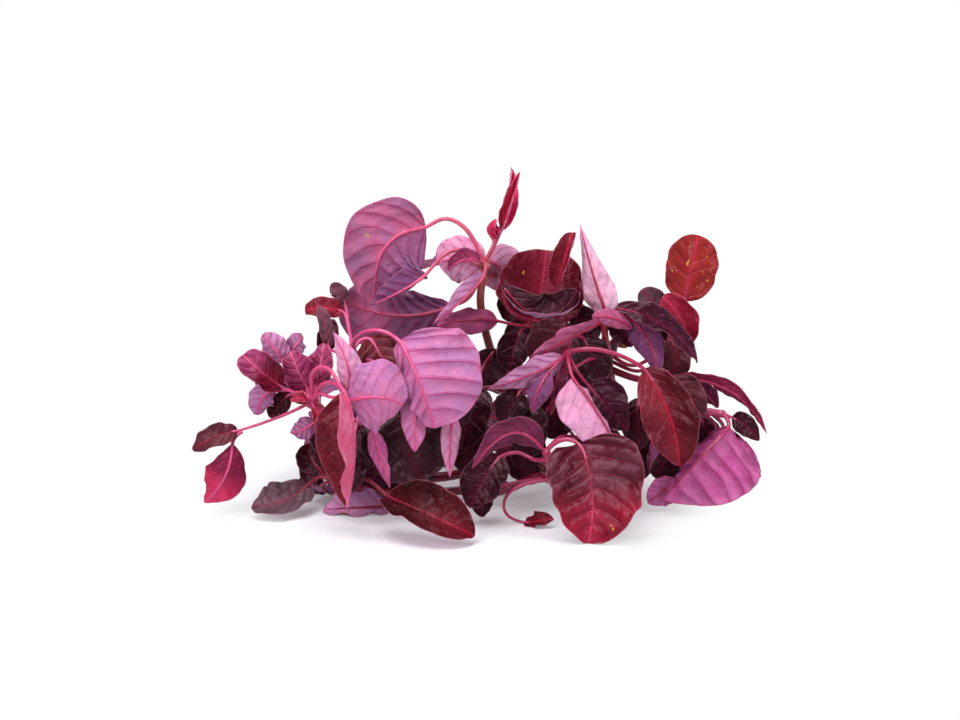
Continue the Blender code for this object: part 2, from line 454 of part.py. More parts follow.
def sheet_hull(points):
    """Both faces of a blade with its clearance, and the rim between them."""
    rows, columns = points.shape[0] - 1, points.shape[1] - 1
    normal = np.cross(np.gradient(points, axis=0), np.gradient(points, axis=1))
    normal[0], normal[-1] = normal[1], normal[-2]
    offset = (BLADE_THICKNESS / 2 + CLEARANCE) * unit(normal)
    quads = grid_faces(rows, columns)
    count = points.shape[0] * points.shape[1]
    edge = np.arange(rows)
    left = edge * (columns + 1)
    rims = [np.stack([side, side + columns + 1, side + columns + 1 + count, side + count], axis=1)
            for side in (left, left + columns)]
    both = np.concatenate([(points + offset).reshape(-1, 3), (points - offset).reshape(-1, 3)])
    return both, np.concatenate([quads, quads + count, *rims])


Hull = namedtuple("Hull", "shoot kind tree low high")


def hull_of(shoot, kind, points, faces):
    return Hull(shoot.name, kind, BVHTree.FromPolygons(points.tolist(), faces.tolist()),
                points.min(axis=0), points.max(axis=0))


def crosses(hull, other):
    """Whether two hulls cross where they may not. A shoot's own stem and stalks are left out,
    because they grow together."""
    if hull.shoot == other.shoot and not hull.kind == other.kind == "blade":
        return False
    if (hull.low > other.high).any() or (other.low > hull.high).any():
        return False
    return bool(hull.tree.overlap(other.tree))


def stem_hull(shoot):
    route = smooth_route(shoot.stem, 24)
    return hull_of(shoot, "stem", *tube_hull(route, np.full(len(route), max(shoot.radii) + CLEARANCE)))


def leaf_hulls(shoot, leaf, number, shift, sway):
    """The clearance shapes of a blade and its stalk."""
    rows, columns = grid_size(leaf)
    share, across = np.meshgrid(row_shares(np.linspace(0, 1, rows + 1)), np.linspace(-1, 1, columns + 1),
                                indexing="ij")
    blade = sheet_hull(blade_surface(leaf, number, shift, share, across))
    route = stalk_route(shoot, leaf, shift, sway)
    stalk = tube_hull(route[:-1], stalk_radii(leaf, len(route))[:-1] + CLEARANCE)
    return hull_of(shoot, "blade", *blade), hull_of(shoot, "stalk", *stalk)


def settle(shoots):
    """Lays the leaves down one by one, the nearest to the eye first. A leaf that would cross
    another moves along the line of sight, or its stalk sways, until it is clear. One with no
    room is left out. Returns {(shoot, leaf number): (shift, sway)}."""
    laid = [stem_hull(shoot) for shoot in shoots]
    order = [(leaf.base[2] + 2 * leaf.middle[2] + leaf.tip[2], i, number)
             for i, shoot in enumerate(shoots) for number, leaf in enumerate(shoot.leaves)]
    settled = {}
    for _, i, number in sorted(order):
        shoot = shoots[i]
        leaf = shoot.leaves[number]
        tries = sorted(((shift, sway) for shift in SHIFTS for sway in SWAYS),
                       key=lambda t: SHIFTS.index(t[0]) + SWAYS.index(t[1]))
        for shift, sway in tries:
            hulls = leaf_hulls(shoot, leaf, number, shift, sway)
            if not any(crosses(hull, other) for hull in hulls for other in laid):
                laid.extend(hulls)
                settled[shoot.name, number] = (shift, sway)
                break
    return settled


def make_material(name, colour):
    material = bpy.data.materials.new(name)
    material.use_nodes = True
    shader = material.node_tree.nodes["Principled BSDF"]
    shader.inputs["Base Color"].default_value = (*colour, 1)
    shader.inputs["Roughness"].default_value = 0.45
    shader.inputs["Metallic"].default_value = 0.0
    return material


def make_object(name, mesh, collection):
    obj = bpy.data.objects.new(name, mesh)
    collection.objects.link(obj)
    return obj


def make_tube(name, route, radii, sides, collection):
    """A closed tube along a route, made as a bevelled curve and turned into a mesh."""
    curve = bpy.data.curves.new(name, "CURVE")
    curve.dimensions = "3D"
    curve.bevel_depth = 1.0
    curve.bevel_resolution = (sides - 4) // 2
    curve.use_fill_caps = True
    spline = curve.splines.new("POLY")
    spline.points.add(len(route) - 1)
    for point, place_, radius in zip(spline.points, route * MM, radii * MM):
        point.co = (*place_, 1)
        point.radius = radius
    obj = make_object(name + "_curve", curve, collection)
    graph = bpy.context.evaluated_depsgraph_get()
    mesh = bpy.data.meshes.new_from_object(obj.evaluated_get(graph))
    bpy.data.objects.remove(obj)
    weld(mesh)
    return make_object(name, mesh, collection)


def weld(mesh):
    bm = bmesh.new()
    bm.from_mesh(mesh)
    bmesh.ops.remove_doubles(bm, verts=bm.verts, dist=1e-6)
    bmesh.ops.recalc_face_normals(bm, faces=bm.faces)
    bm.to_mesh(mesh)
    bm.free()


def make_blade(name, leaf, number, shift, collection):
    """A blade: a grid moved onto the leaf's surface, split into triangles and given its thickness."""
    rows, columns = grid_size(leaf)
    bm = bmesh.new()
    bmesh.ops.create_grid(bm, x_segments=columns, y_segments=rows, size=1)
    flat = np.array([v.co for v in bm.verts])
    points = blade_surface(leaf, number, shift, row_shares((flat[:, 1] + 1) / 2), flat[:, 0])
    for vert, point in zip(bm.verts, points * MM):
        vert.co = point
    bmesh.ops.remove_doubles(bm, verts=bm.verts, dist=1e-6)
    bmesh.ops.triangulate(bm, faces=bm.faces)
    mesh = bpy.data.meshes.new(name)
    bm.to_mesh(mesh)
    bm.free()
    obj = make_object(name, mesh, collection)
    solidify = obj.modifiers.new("thickness", "SOLIDIFY")
    solidify.thickness = BLADE_THICKNESS * MM
    solidify.offset = 0
    return obj


def make_shoot(shoot, settled, collection):
    """One shoot as one solid: the stem, with its stalks and blades joined to it."""
    route = smooth_route(shoot.stem, STEM_RINGS)
    stem = make_tube(shoot.name, route, np.linspace(*shoot.radii, len(route)), STEM_SIDES, collection)
    growth = bpy.data.collections.new(shoot.name + "_growth")
    bpy.context.scene.collection.children.link(growth)
    for number, leaf in enumerate(shoot.leaves):
        if (shoot.name, number) not in settled:
            continue
        shift, sway = settled[shoot.name, number]
        label = f"{shoot.name}_leaf_{number}"
        make_blade(label, leaf, number, shift, growth)
        route = stalk_route(shoot, leaf, shift, sway)
        make_tube(label + "_stalk", route, stalk_radii(leaf, len(route)), STALK_SIDES, growth)
    # The exact solver takes minutes on this many thin blades. The manifold one takes a second.
    union = stem.modifiers.new("grown together", "BOOLEAN")
    union.operation = "UNION"
    union.solver = "MANIFOLD"
    union.operand_type = "COLLECTION"
    union.collection = growth
    graph = bpy.context.evaluated_depsgraph_get()
    joined = bpy.data.meshes.new_from_object(stem.evaluated_get(graph))
    stem.modifiers.clear()
    stem.data = joined
    for obj in list(growth.objects):
        bpy.data.objects.remove(obj)
    bpy.data.collections.remove(growth)
    stem.data.materials.clear()
    stem.data.materials.append(make_material(shoot.name, shoot.colour))
    return stem


def main():
    for obj in list(bpy.data.objects):
        bpy.data.objects.remove(obj)
    bunch = bpy.data.collections.new("amaranth_greens_bunch")
    bpy.context.scene.collection.children.link(bunch)
    settled = settle(SHOOTS)
    left_out = [f"{s.name} {n}" for s in SHOOTS for n in range(len(s.leaves)) if (s.name, n) not in settled]
    print(f"{len(settled)} leaves laid, {len(left_out)} with no room: {left_out}")
    for shoot in SHOOTS:
        make_shoot(shoot, settled, bunch)


main()
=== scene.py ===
# %% [markdown]
# # A bunch of red amaranth greens
#
# Thirteen young shoots of red amaranth lie in a loose heap, as they come from the field: juicy
# crimson stems, thin stalks that arch over, and oval leaves that show their dark glossy upper
# side or their pink underside. The frame holds one plain solid for each shoot. This file lays
# a finer skin over each of them, with real blades with veins and with round stems and stalks,
# and adds the small dark leaves that fill the gaps between them.
#
# The cells run from top to bottom. Lengths are in millimetres until a mesh is made.

# %% Open the frame
import math
from collections import namedtuple
from functools import partial
from types import SimpleNamespace

import bpy
import numpy as np
from mathutils.bvhtree import BVHTree
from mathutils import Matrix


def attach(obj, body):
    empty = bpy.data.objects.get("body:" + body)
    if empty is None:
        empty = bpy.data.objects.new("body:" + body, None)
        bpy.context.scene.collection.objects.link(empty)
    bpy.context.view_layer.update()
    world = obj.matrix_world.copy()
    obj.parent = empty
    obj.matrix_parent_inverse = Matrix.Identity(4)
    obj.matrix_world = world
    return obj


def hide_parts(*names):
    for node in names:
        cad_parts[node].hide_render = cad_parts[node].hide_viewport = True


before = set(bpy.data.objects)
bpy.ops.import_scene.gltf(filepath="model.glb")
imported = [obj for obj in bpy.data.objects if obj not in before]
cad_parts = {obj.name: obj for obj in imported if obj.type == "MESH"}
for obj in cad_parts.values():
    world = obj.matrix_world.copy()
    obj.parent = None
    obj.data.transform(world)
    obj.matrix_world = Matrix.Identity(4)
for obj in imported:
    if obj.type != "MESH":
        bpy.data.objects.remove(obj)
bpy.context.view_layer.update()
MM = 0.001
print("the frame holds", len(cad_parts), "shoots")

# %% [markdown]
# ## Where the eye is
#
# The heap was laid out the way a painter would do it: each point was placed on an upright
# picture plane, as across and up, and then pushed back along the line of sight by its depth.
# So a point that is given as seen from the front stays behind the same spot of the picture,
# however far back it goes. The camera stands where that eye is. Its long lens keeps the
# heap's near and far leaves at nearly the same scale.

# %% The line of sight, and the two ways to give a point
EYE_DISTANCE = 1133.0
EYE_AIM = 72.5
EYE_TILT = math.radians(12.0)
TO_CENTRE = np.array([-0.5, -11.5, 0.0])
FRONT = (0, 0, -1)
BACK = (0, 0, 1)


def seen(across, up, back):
    """The place of a point given as seen from the front: both picture coordinates grow with the
    distance from the eye, and the upright plane leans back by the eye's tilt."""
    spread = (EYE_DISTANCE + back) / EYE_DISTANCE
    high = EYE_AIM + (up - EYE_AIM) * spread
    return np.array([
        across * spread,
        high * math.sin(EYE_TILT) + back * math.cos(EYE_TILT),
        high * math.cos(EYE_TILT) - back * math.sin(EYE_TILT),
    ]) + TO_CENTRE


def seen_direction(across, up, back):
    """A direction given as seen from the front: the same turn, without the spread."""
    return np.array([
        across,
        up * math.sin(EYE_TILT) + back * math.cos(EYE_TILT),
        up * math.cos(EYE_TILT) - back * math.sin(EYE_TILT),
    ])


def place(x, y, z):
    """A point given over the surface that the heap lies on."""
    return np.array([x, y, z], float) + TO_CENTRE


# %% The camera stands at the eye
camera = bpy.data.objects.new("camera", bpy.data.cameras.new("camera"))
camera.data.lens = 85
camera.data.sensor_width = 36
eye = EYE_AIM * seen_direction(0, 1, 0) - EYE_DISTANCE * seen_direction(0, 0, 1) + TO_CENTRE
camera.location = eye * MM
camera.rotation_euler = (math.pi / 2 - EYE_TILT, 0, 0)
bpy.context.scene.collection.objects.link(camera)
bpy.context.scene.camera = camera
print("the camera stands at", [round(v, 3) for v in camera.location])

# %% [markdown]
# ## What a leaf is made of
#
# An amaranth leaf is a stalk that runs on as the midrib, with a blade on both sides of it. A
# blade needs few numbers: three points on the midrib, a width, the way that its upper side
# looks, how steeply each half rises at the midrib and how much it curls on towards the edge.
# The alternative, modelling every leaf by hand, would give a hundred meshes that nobody can
# correct. With a formula, a leaf that hangs wrong is mended by changing one number.

# %% The kinds of entry in the list of leaves
Leaf = namedtuple(
    "Leaf",
    "base middle tip width faces root via fold curl wave heel taper",
    defaults=(1.0, (), 8, 12, 1.0, 0.62, 0.75),
)
Leaf.__doc__ = """One leaf. base, middle and tip are on its midrib, as seen. root is where its stalk
leaves the stem, as a share of the stem's length or a point as seen, and via are points on
the stalk. fold and curl are how far, in degrees, each half rises at the midrib and bends
on towards its edge: one number, or two for the left and right half. heel and taper are
the outline's powers at its two ends, and wave is how far the edge waves, in millimetres.
width may be two numbers as well, each twice the width of its half."""

Shoot = namedtuple("Shoot", "name stem radii leaves")
Shoot.__doc__ = """One shoot: the points and the two end radii of its stem, from the cut end up,
and its leaves."""

# %% [markdown]
# ## The list of shoots
#
# Each shoot starts at its cut end, which lies on the surface behind the heap, and leans
# forward to its growing tip. The list is the same one that the frame's solids were made from,
# so every fine leaf lies over its plain one.

# %% Thirteen shoots and their leaves
SHOOTS = [
    Shoot("shoot_crown",
          [place(30, 84, 3), place(24, 70, 14), place(10, 46, 55), seen(0.5, 98, 9), seen(2.5, 120.5, 4)],
          (2.6, 1.9), [
        Leaf((-27, 138.5, 5), (-48, 128, 0), (-52, 100.5, 6), (40, 56), BACK, heel=0.5,
             via=((-4, 134, 3), (-11, 141.5, 3), (-19.5, 143.5, 4)), fold=(4, -4), curl=-10, wave=1.2),
        Leaf((-27.5, 114.5, -6), (-39, 107, -9), (-55, 99.5, -7), 19, BACK, fold=(2, 84), taper=0.9,
             via=((-5, 127, 0), (-15, 127, -2), (-24, 119, -5)), wave=0.4),
        Leaf((-12.5, 100, 4), (-40, 94.5, 10), (-69, 102.5, 6), 36, (0, -0.25, 1),
             via=((-1, 112, 0), (-6, 103, 1)), fold=6, wave=1.0, heel=0.9, taper=0.45),
        Leaf((1, 119, 9), (-10, 123, 12), (-21, 121, 11), 25, BACK, fold=10, heel=0.5, taper=0.5,
             via=((3, 121, 7),)),
        Leaf((4.5, 122, 12), (10.5, 117.5, 15), (14, 106, 15), 26, BACK, fold=8, heel=0.5, taper=0.6,
             via=((3.5, 121, 8),)),
        Leaf((10, 137, 5), (14, 152.5, 4), (15.5, 169, 6), 12, (0.55, 0.1, -0.8), fold=50, curl=20,
             via=((6, 128, 4),), wave=0.3, taper=0.8),
        Leaf((10.6, 137, 1.6), (16, 152, 1), (20, 166.5, 2), 10, (-0.5, 0.1, -0.85), fold=50, curl=20,
             via=((6.5, 128, 2.4),), wave=0.3, taper=0.8),
        Leaf((8.5, 132.5, 1), (3.6, 138, -1), (8, 142, 0), 15, (0.95, 0, -0.2), curl=75, wave=0.2, fold=20,
             via=((5, 127, 1),), heel=0.5, taper=0.5),
        Leaf((0, 121.5, -1), (-8, 122.5, -5), (-16, 117, -3), 12, (0, 0.5, -0.8), fold=28, curl=30, wave=0.9,
             via=((1, 122, 0),)),
        Leaf((2.5, 116, -4), (-7, 104.5, -7), (-23.5, 90, -6), 12, (-0.6, 0.5, 0.4), fold=58, curl=12,
             via=((3, 119, -2),), wave=0.4, taper=0.95),
        Leaf((-3, 118, 18), (-18, 121, 32), (-34, 116, 44), 19, (-0.2, 1, 0.2)),
        Leaf((12, 114, 16), (26, 112, 28), (36, 98, 36), 26, (0.5, 0.9, 0.2), root=0.93),
    ]),
    Shoot("shoot_upper_middle",
          [place(-36, 84, 3), place(-14, 66, 16), place(16, 42, 50), seen(34, 82, 14), seen(36, 91, 9)],
          (2.4, 1.8), [
        Leaf((27, 90, 6), (30.5, 108, 3), (33, 127.5, 9), 45, (0, 0.1, -1), taper=0.5, heel=0.5, fold=6),
        Leaf((38.5, 109, -6), (42.5, 123, -9), (46.5, 136, -5), 15, (-0.5, 0.1, -0.85), curl=55, fold=20,
             via=((36, 98, -2),), wave=0.5, heel=0.45, taper=0.55),
        Leaf((11, 110, -8), (31, 94, -14), (49, 107, -9), 25, (0, 0.8, -0.55), fold=22, curl=34,
             via=((26, 92, -1), (14, 98, -5)), taper=0.5, wave=0.6),
        Leaf((43, 92, 2), (36, 81, -1), (27, 70, 1), 26, FRONT, taper=0.6),
        Leaf((20, 87, 6), (17, 77.5, 3), (15, 67, 4), 18, (-0.2, 0, -1), curl=25, taper=0.6),
        Leaf((9, 92, 2), (-5, 92.5, -1), (-22, 89.5, -3), 14, (0.1, -0.2, 0.95), taper=0.8,
             via=((27, 89, 5), (18, 90, 3))),
        Leaf((45, 92, 16), (54, 98, 28), (58, 90, 42), 24, (0.4, 0.9, 0)),
    ]),
    Shoot("shoot_upper_right",
          [place(62, 90, 3), place(70, 68, 15), place(68, 40, 50), seen(63, 80, 2), seen(62, 92, -2)],
          (2.4, 1.7), [
        Leaf((63, 96, -6), (56, 117, -8), (50, 140.5, -5), 17, (0.3, 0, 0.95), heel=0.3, taper=1.2,
             wave=0.5, fold=12),
        Leaf((69.5, 96.5, -5), (83, 84, -8), (89, 63.5, -8), 16, (0.1, -0.1, 1), taper=0.85, fold=10),
        Leaf((67, 98.5, -2), (91, 90, -4), (109, 71, -4), 16, (0.3, 0.55, -0.75), taper=0.9, fold=14),
        Leaf((95, 89, 3), (89, 98.5, 5), (80.5, 107.5, 5), 15, FRONT, taper=0.5,
             via=((84, 66, 6), (94, 78, 5)), root=0.8),
        Leaf((104, 80, 4), (100.5, 93.5, 1), (91, 104, 1), 18, (-0.3, 0, -1), taper=0.6,
             via=((88, 62, 8), (100, 70, 6)), root=0.76),
        Leaf((102, 102, 7), (105.5, 118.5, 5), (109, 135, 8), 27, (0.05, 0, -1), heel=0.5, taper=0.5, fold=5,
             curl=8, via=((92, 61, 12), (106, 76, 10), (104, 91, 9)), root=0.72, wave=0.7),
        Leaf((95, 84, 0), (97.5, 74.5, -2), (94.5, 63, 0), 17, FRONT, taper=0.5,
             via=((80, 68, 2), (89, 79, 1)), root=0.84),
        Leaf((60, 91, -12), (42.5, 82.5, -23), (22, 69.5, -25), 13, (-0.1, 0.75, 0.6), taper=0.85,
             via=((61, 93, -7),)),
        Leaf((76, 88, -9), (66, 93.5, -13), (56, 93.5, -13), 9, BACK, taper=0.6,
             via=((70, 90, -6),), wave=0.4),
        Leaf((63, 71, 8), (65, 77, 8), (68.5, 84, 10), 7, BACK, root=0.9),
        Leaf((69, 79, 14), (71.5, 82, 14), (75, 84, 16), 8, FRONT, root=0.88, wave=0.4),
        Leaf((66, 90, 14), (76, 90, 26), (88, 84, 38), 14, (0.4, 0.9, 0)),
        Leaf((52, 84, 16), (44, 82, 32), (38, 66, 46), 24, (0, 1, 0.3), root=0.85),
    ]),
    Shoot("shoot_centre",
          [place(-32, 34, 4), place(-4, 24, 12), place(30, 10, 38), seen(42, 66, -16),
           seen(43.5, 76.5, -20)],
          (2.6, 1.8), [
        Leaf((42, 74, -24), (26, 65.5, -33), (3.5, 58, -36), 14, (0, 0.35, 0.95), taper=1.0, wave=0.8),
        Leaf((46, 64, -34), (60, 44, -42), (75, 17, -46), 34, BACK, taper=1.15, heel=0.5, fold=(4, 80),
             curl=(12, 10), via=((44.5, 71, -28),), wave=0.8),
        Leaf((40, 69.5, -22), (38, 61.5, -27), (36, 53, -24), 12, (0.2, 0, 1)),
        Leaf((54, 60, -22), (63, 50, -26), (74, 37, -26), 25, (-0.1, 0.2, -1), taper=0.95,
             via=((48.5, 67, -24),), fold=14),
        Leaf((34.5, 66.5, -28), (29, 56.5, -33), (26, 45.5, -32), 12, (0.3, 0, 1), taper=0.95,
             via=((40, 72, -26),)),
        Leaf((20, 57, -18), (15.5, 49.5, -22), (10, 41.5, -21), 17, FRONT, taper=0.6,
             via=((34, 66, -19),)),
        Leaf((82.5, 68, -28), (95, 44.5, -35), (100, 19.5, -32), 28, (-0.2, 0.15, -1), taper=0.65, wave=1.2,
             via=((50, 78, -23), (60, 77.5, -25), (72, 74, -27)), fold=12),
    ]),
    Shoot("shoot_right",
          [place(6, 66, 4), place(48, 46, 13), place(86, 20, 34), seen(106, 46.5, -4), seen(122, 45.5, -8)],
          (2.5, 1.8), [
        Leaf((98, 63.5, 0), (125.5, 57, -5), (143.5, 35.5, -6), 10, (0.25, 0.7, 0.55), taper=1.05, wave=0.8,
             via=((88, 63, 1),), root=0.62),
        Leaf((126, 43.5, -9), (132.5, 40, -12), (139.5, 32, -11), 11, FRONT, taper=0.8),
        Leaf((125, 39, -12), (110, 23.5, -22), (91.5, 2.5, -21), (34, 54), (0, 0.05, 1), fold=(78, 0),
             curl=(10, 8), via=((124, 43, -10),), wave=1.2, taper=0.75, heel=0.32),
        Leaf((94, 63.5, -8), (102, 53.5, -12), (106, 40, -12), 22, (0.1, 0.1, -1), taper=0.58,
             via=((84, 58, -2), (88, 62, -6)), root=0.66),
        Leaf((106, 61, 4), (112, 56.5, 3), (119, 48.5, 4), 12, (0.2, 0.5, 0.8), root=0.8,
             via=((100, 56, 4),)),
        Leaf((117.5, 33, -4), (109, 25.5, -7), (101, 17.5, -6), 19, (0.1, 0.3, -1), taper=0.6,
             via=((119, 40, -5),), root=0.9),
        Leaf((81, 59, -18), (86, 40, -21), (84.5, 16, -20), 13, (1, 0, 0.35), taper=0.9, root=0.66,
             via=((84, 60, -12),)),
        Leaf((79, 53.5, -12), (78.5, 41, -14), (80, 28, -12), 16, FRONT, root=0.6, taper=0.6),
        Leaf((99, 13, -8), (91, 6.5, -14), (83.5, 1, -13), 15, (-0.2, -0.3, 0.9), root=0.72,
             via=((104, 30, -6), (104, 20, -6)), wave=1.4),
        Leaf((122, 34, 6), (122, 23, 20), (114, 13, 32), 22, (0.5, 0.9, 0.2), root=0.95),
        Leaf((104, 48, 12), (98, 44, 28), (96, 30, 40), 20, (0.1, 1, 0.3), root=0.8),
    ]),
    Shoot("shoot_front",
          [place(0, 2, 5), place(14, -2, 9), place(28, -8, 17), seen(35.5, 13, -38), seen(33, 27, -41)],
          (2.4, 1.7), [
        Leaf((50, 30.5, -47), (56, 6.5, -63), (54, -20.5, -66), (50, 40), (-0.05, 0.35, -1), taper=0.78,
             heel=0.4, via=((37, 31, -43), (43, 33.5, -44)), fold=10, wave=1.8),
        Leaf((49, 34, -36), (61, 28, -41), (74, 18, -42), 22, (0.1, 0.4, -1), taper=0.65,
             via=((40, 34, -39),)),
        Leaf((22.5, -9.5, -32), (29, -8, -38), (37, -7, -40), 10, (-0.1, 0.6, -0.8), root=0.78, curl=30,
             via=((23, 11, -35), (14.5, 7, -35), (10.5, 0, -34), (14, -7, -32)), taper=0.7),
        Leaf((31, 28, -42), (15, 36, -49), (-4, 18, -49), 16, (-0.2, 0.5, 0.85), taper=0.9, wave=0.7),
        Leaf((10, 24.5, -30), (2, 13, -37), (-5, -1.5, -38), 22, (-0.1, 0.2, -1), taper=0.65,
             via=((28, 22, -34), (18, 27, -30)), root=0.95, wave=1.6),
        Leaf((4, 8, -26), (1, 1.5, -30), (2, -6, -27), 11, (0, 0.2, -1), root=0.6, wave=0.8,
             via=((10, 10, -24),)),
        Leaf((24, 34, -34), (24, 42, -26), (22, 40, -14), 20, (0, 0.8, -0.5)),
    ]),
    Shoot("shoot_front_left",
          [place(14, 22, 4), place(-22, 6, 5), place(-52, -6, 9), seen(-74, 13, -14)],
          (2.4, 1.8), [
        Leaf((-46, 4, -46), (-27, -4, -62), (-3, -15.5, -66), (30, 31), (0.1, 0.72, -0.7),
             fold=(24, 5), curl=(40, 34), via=((-66, 15, -24), (-55, 12, -36)), taper=0.5, heel=0.5,
             wave=0.7),
        Leaf((-44, -1, -12), (-61, -1.5, -14), (-78.5, -2.5, -13), 20, (0, -0.5, 0.85), root=0.7, wave=2.0,
             fold=-18, via=((-50, 6, -8), (-42, 4, -10)), taper=0.6),
        Leaf((-31, 4.6, 15), (-45, 5.0, 18.6), (-61, 5.6, 22), 21, (0, 0.98, -0.2), root=0.42, fold=0,
             curl=6, wave=0, taper=0.6),
        Leaf((-86, 10, -8), (-99.5, 1.5, -19), (-114, 0, -21), 24, (0.15, 0.8, -0.6), taper=0.5, fold=10,
             via=((-80, 15, -12),), heel=0.5),
        Leaf((-79, 17, 0), (-84, 23, 4), (-85.5, 31, 4), 16, FRONT, taper=0.55),
        Leaf((-72, 20, -18), (-66, 28, -22), (-60, 40, -22), 22, (0.1, 0.1, -1), taper=0.6),
        Leaf((-80, 10, -6), (-74, 6, 6), (-72, 9, 22), 22, (0, 1, 0), root=0.9),
    ]),
    Shoot("shoot_left",
          [place(-16, 66, 4), place(-46, 38, 22), place(-72, 10, 42), seen(-84, 51.5, -19)],
          (2.6, 1.9), [
        Leaf((-66, 51.5, -49), (-52, 54, -57), (-38, 50, -52), 37, (0.1, 0, 1), taper=0.52, heel=0.5,
             via=((-78, 61.5, -32), (-71, 60, -42)), fold=6),
        Leaf((-66, 55, -48), (-66, 69.5, -54), (-73.5, 86.5, -50), 14, (0.35, 0, 1), taper=0.95, wave=0.5,
             via=((-80, 56, -30), (-72, 53, -42))),
        Leaf((-68, 57, -52), (-63, 30, -58), (-66.5, -1.5, -52), 37, (-1, 0, -0.25),
             via=((-84, 60, -24), (-84, 66.5, -30), (-79, 69.5, -35), (-74, 67, -40), (-71, 61, -46)),
             fold=(28, 72), curl=(8, 8), taper=0.85, wave=0.8),
        Leaf((-121, 37, -17), (-131, 34.5, -20), (-144, 28, -17), 13, (0, 0.4, -0.9), taper=0.6, wave=1.3,
             via=((-100, 44, -19), (-113, 39.5, -18))),
        Leaf((-124, 31.5, -18), (-127, 15, -22), (-137.5, 1.5, -14), 21, (-0.1, 0, 1), heel=1.05, taper=0.85,
             root=(-119, 36.9, -17.4), via=((-122.5, 35, -17.6),), wave=0.8),
        Leaf((-98, 70.5, -17), (-102.5, 78, -21), (-109, 85, -19), 14, (0.1, 0, 1), taper=0.5, heel=0.5,
             via=((-90, 58, -17), (-96, 62, -16))),
        Leaf((-95, 74, -10), (-92, 80, -13), (-88, 84, -9), 11, (0, 0.3, 1), taper=0.55,
             via=((-88, 60, -13), (-94, 66, -11))),
        Leaf((-99, 59, -22), (-108.5, 66, -29), (-118.5, 75, -25), 19, (0.35, 0.15, -1), taper=0.5, fold=16,
             curl=26, via=((-90, 55, -22),)),
        Leaf((-101, 57.5, -16), (-108.5, 54, -20), (-111, 45, -18), 14, (-0.1, 0, 1), taper=0.55,
             via=((-92, 57, -17),)),
        Leaf((-95, 56, -11), (-100, 50.5, -12), (-105, 43.5, -12), 11, FRONT, taper=0.6,
             via=((-89, 55, -14),)),
        Leaf((-86, 58, -17), (-91, 67, -23), (-95, 77, -20), 18, (0.2, 0, -1), wave=1.6, curl=20),
        Leaf((-82, 60, -14), (-80, 69, -17), (-78, 81, -13), 15, (-0.2, 0, -1), wave=1.4, curl=20),
        Leaf((-82, 42, -18), (-87.5, 38, -21), (-95, 36, -19), 12, (0, 0.3, 0.95), wave=1.2, root=0.96),
        Leaf((-83, 49, -24), (-81, 44, -27), (-80.5, 39, -25), 7, (0.3, 0.1, -1), wave=0.4, fold=20),
        Leaf((-87, 53, -24), (-90, 53.5, -26), (-95, 52.5, -24), 7, (0, 0.5, -0.8), wave=0.4, fold=20),
        Leaf((-54, 38, -40), (-50, 25, -43), (-45, 8.5, -42), 9, (-0.25, 0, 1), taper=1.0, root=0.93,
             via=((-72, 46, -30), (-60, 43, -38)), wave=0.5),
        Leaf((-92, 60, 4), (-102, 64, 14), (-108, 56, 24), 22, (-0.4, 0.9, 0), root=0.95),
    ]),
    Shoot("shoot_centre_left",
          [place(-48, 84, 3), place(-56, 56, 22), place(-58, 16, 54), seen(-64, 77, -24)],
          (2.5, 1.9), [
        Leaf((-40.5, 82.5, -45), (-31, 63, -56), (-22.5, 38, -52), (20, 63), (-0.15, 0.05, 1), fold=(30, -6),
             via=((-62.5, 83, -31), (-58, 86.5, -37), (-51.5, 87.5, -41), (-45.5, 86, -44)),
             curl=(14, -14), wave=1.8, taper=0.45, heel=0.48),
        Leaf((-31, 60, -42), (-32.5, 44, -47), (-32.5, 26.5, -46), 14, (-0.1, 0, 1), taper=0.8, wave=0.5,
             via=((-55, 72, -30), (-38, 68, -38)), root=0.97),
        Leaf((-13, 45, -38), (-15, 31, -41), (-15, 14, -40), 10, (-0.1, 0, 1), taper=1.05, wave=0.5,
             via=((-55, 70, -26), (-28, 60, -34)), root=0.95),
        Leaf((-44, 54, -28), (-37.5, 35, -36), (-30, 11, -36), 46, (0.05, 0.1, -1), taper=0.55, wave=1.8,
             via=((-54, 66, -26),), root=0.94),
        Leaf((-55, 84, -18), (-47.5, 70, -26), (-41, 53, -26), 27, (0.1, 0.1, -1), wave=1.4,
             via=((-61, 82, -20),)),
        Leaf((-62, 38, -16), (-66, 21.5, -24), (-68, 4, -24), 22, (-0.1, 0.1, -1), root=0.7, taper=0.65),
        Leaf((-76, 78, -8), (-77, 88.5, -9), (-81, 100, -6), 8, (0.3, 0, -1), wave=0.4, taper=0.7,
             via=((-70, 76, -16),)),
        Leaf((-67.5, 96.5, 0), (-77.5, 98.5, -3), (-87.5, 97, 0), 12, (0, 0.45, -0.9), taper=0.45, heel=0.5,
             via=((-65, 86, -12),)),
        Leaf((-67, 100, 9), (-70, 106, 7), (-75, 109.5, 9), 8, FRONT, taper=0.5,
             via=((-65, 86, -8), (-66, 94, 5)), root=0.96),
        Leaf((-44, 76, -4), (-38, 80, 6), (-32, 72, 16), 24, (0.3, 0.9, 0), root=0.88),
    ]),
    Shoot("shoot_inner",
          [place(44, 35, 4), place(26, 30, 14), place(4, 18, 34), seen(-4, 56, -6)],
          (2.4, 1.8), [
        Leaf((-4, 62, -10), (-6, 47, -15), (-9, 28, -16), 24, FRONT, taper=0.65),
        Leaf((16, 54, -4), (22, 40, -10), (26, 24, -12), 24, (0.1, 0, -1), taper=0.65),
        Leaf((-16, 56, -8), (-26, 42, -12), (-32, 26, -12), 24, (-0.1, 0.1, -1), taper=0.65),
        Leaf((-18, 64, 2), (-28, 72, 8), (-40, 74, 10), 22, (0, 0.6, -0.8)),
        Leaf((-12, 58, 8), (-22, 60, 22), (-26, 50, 36), 24, (-0.2, 1, 0.2), root=0.92),
    ]),
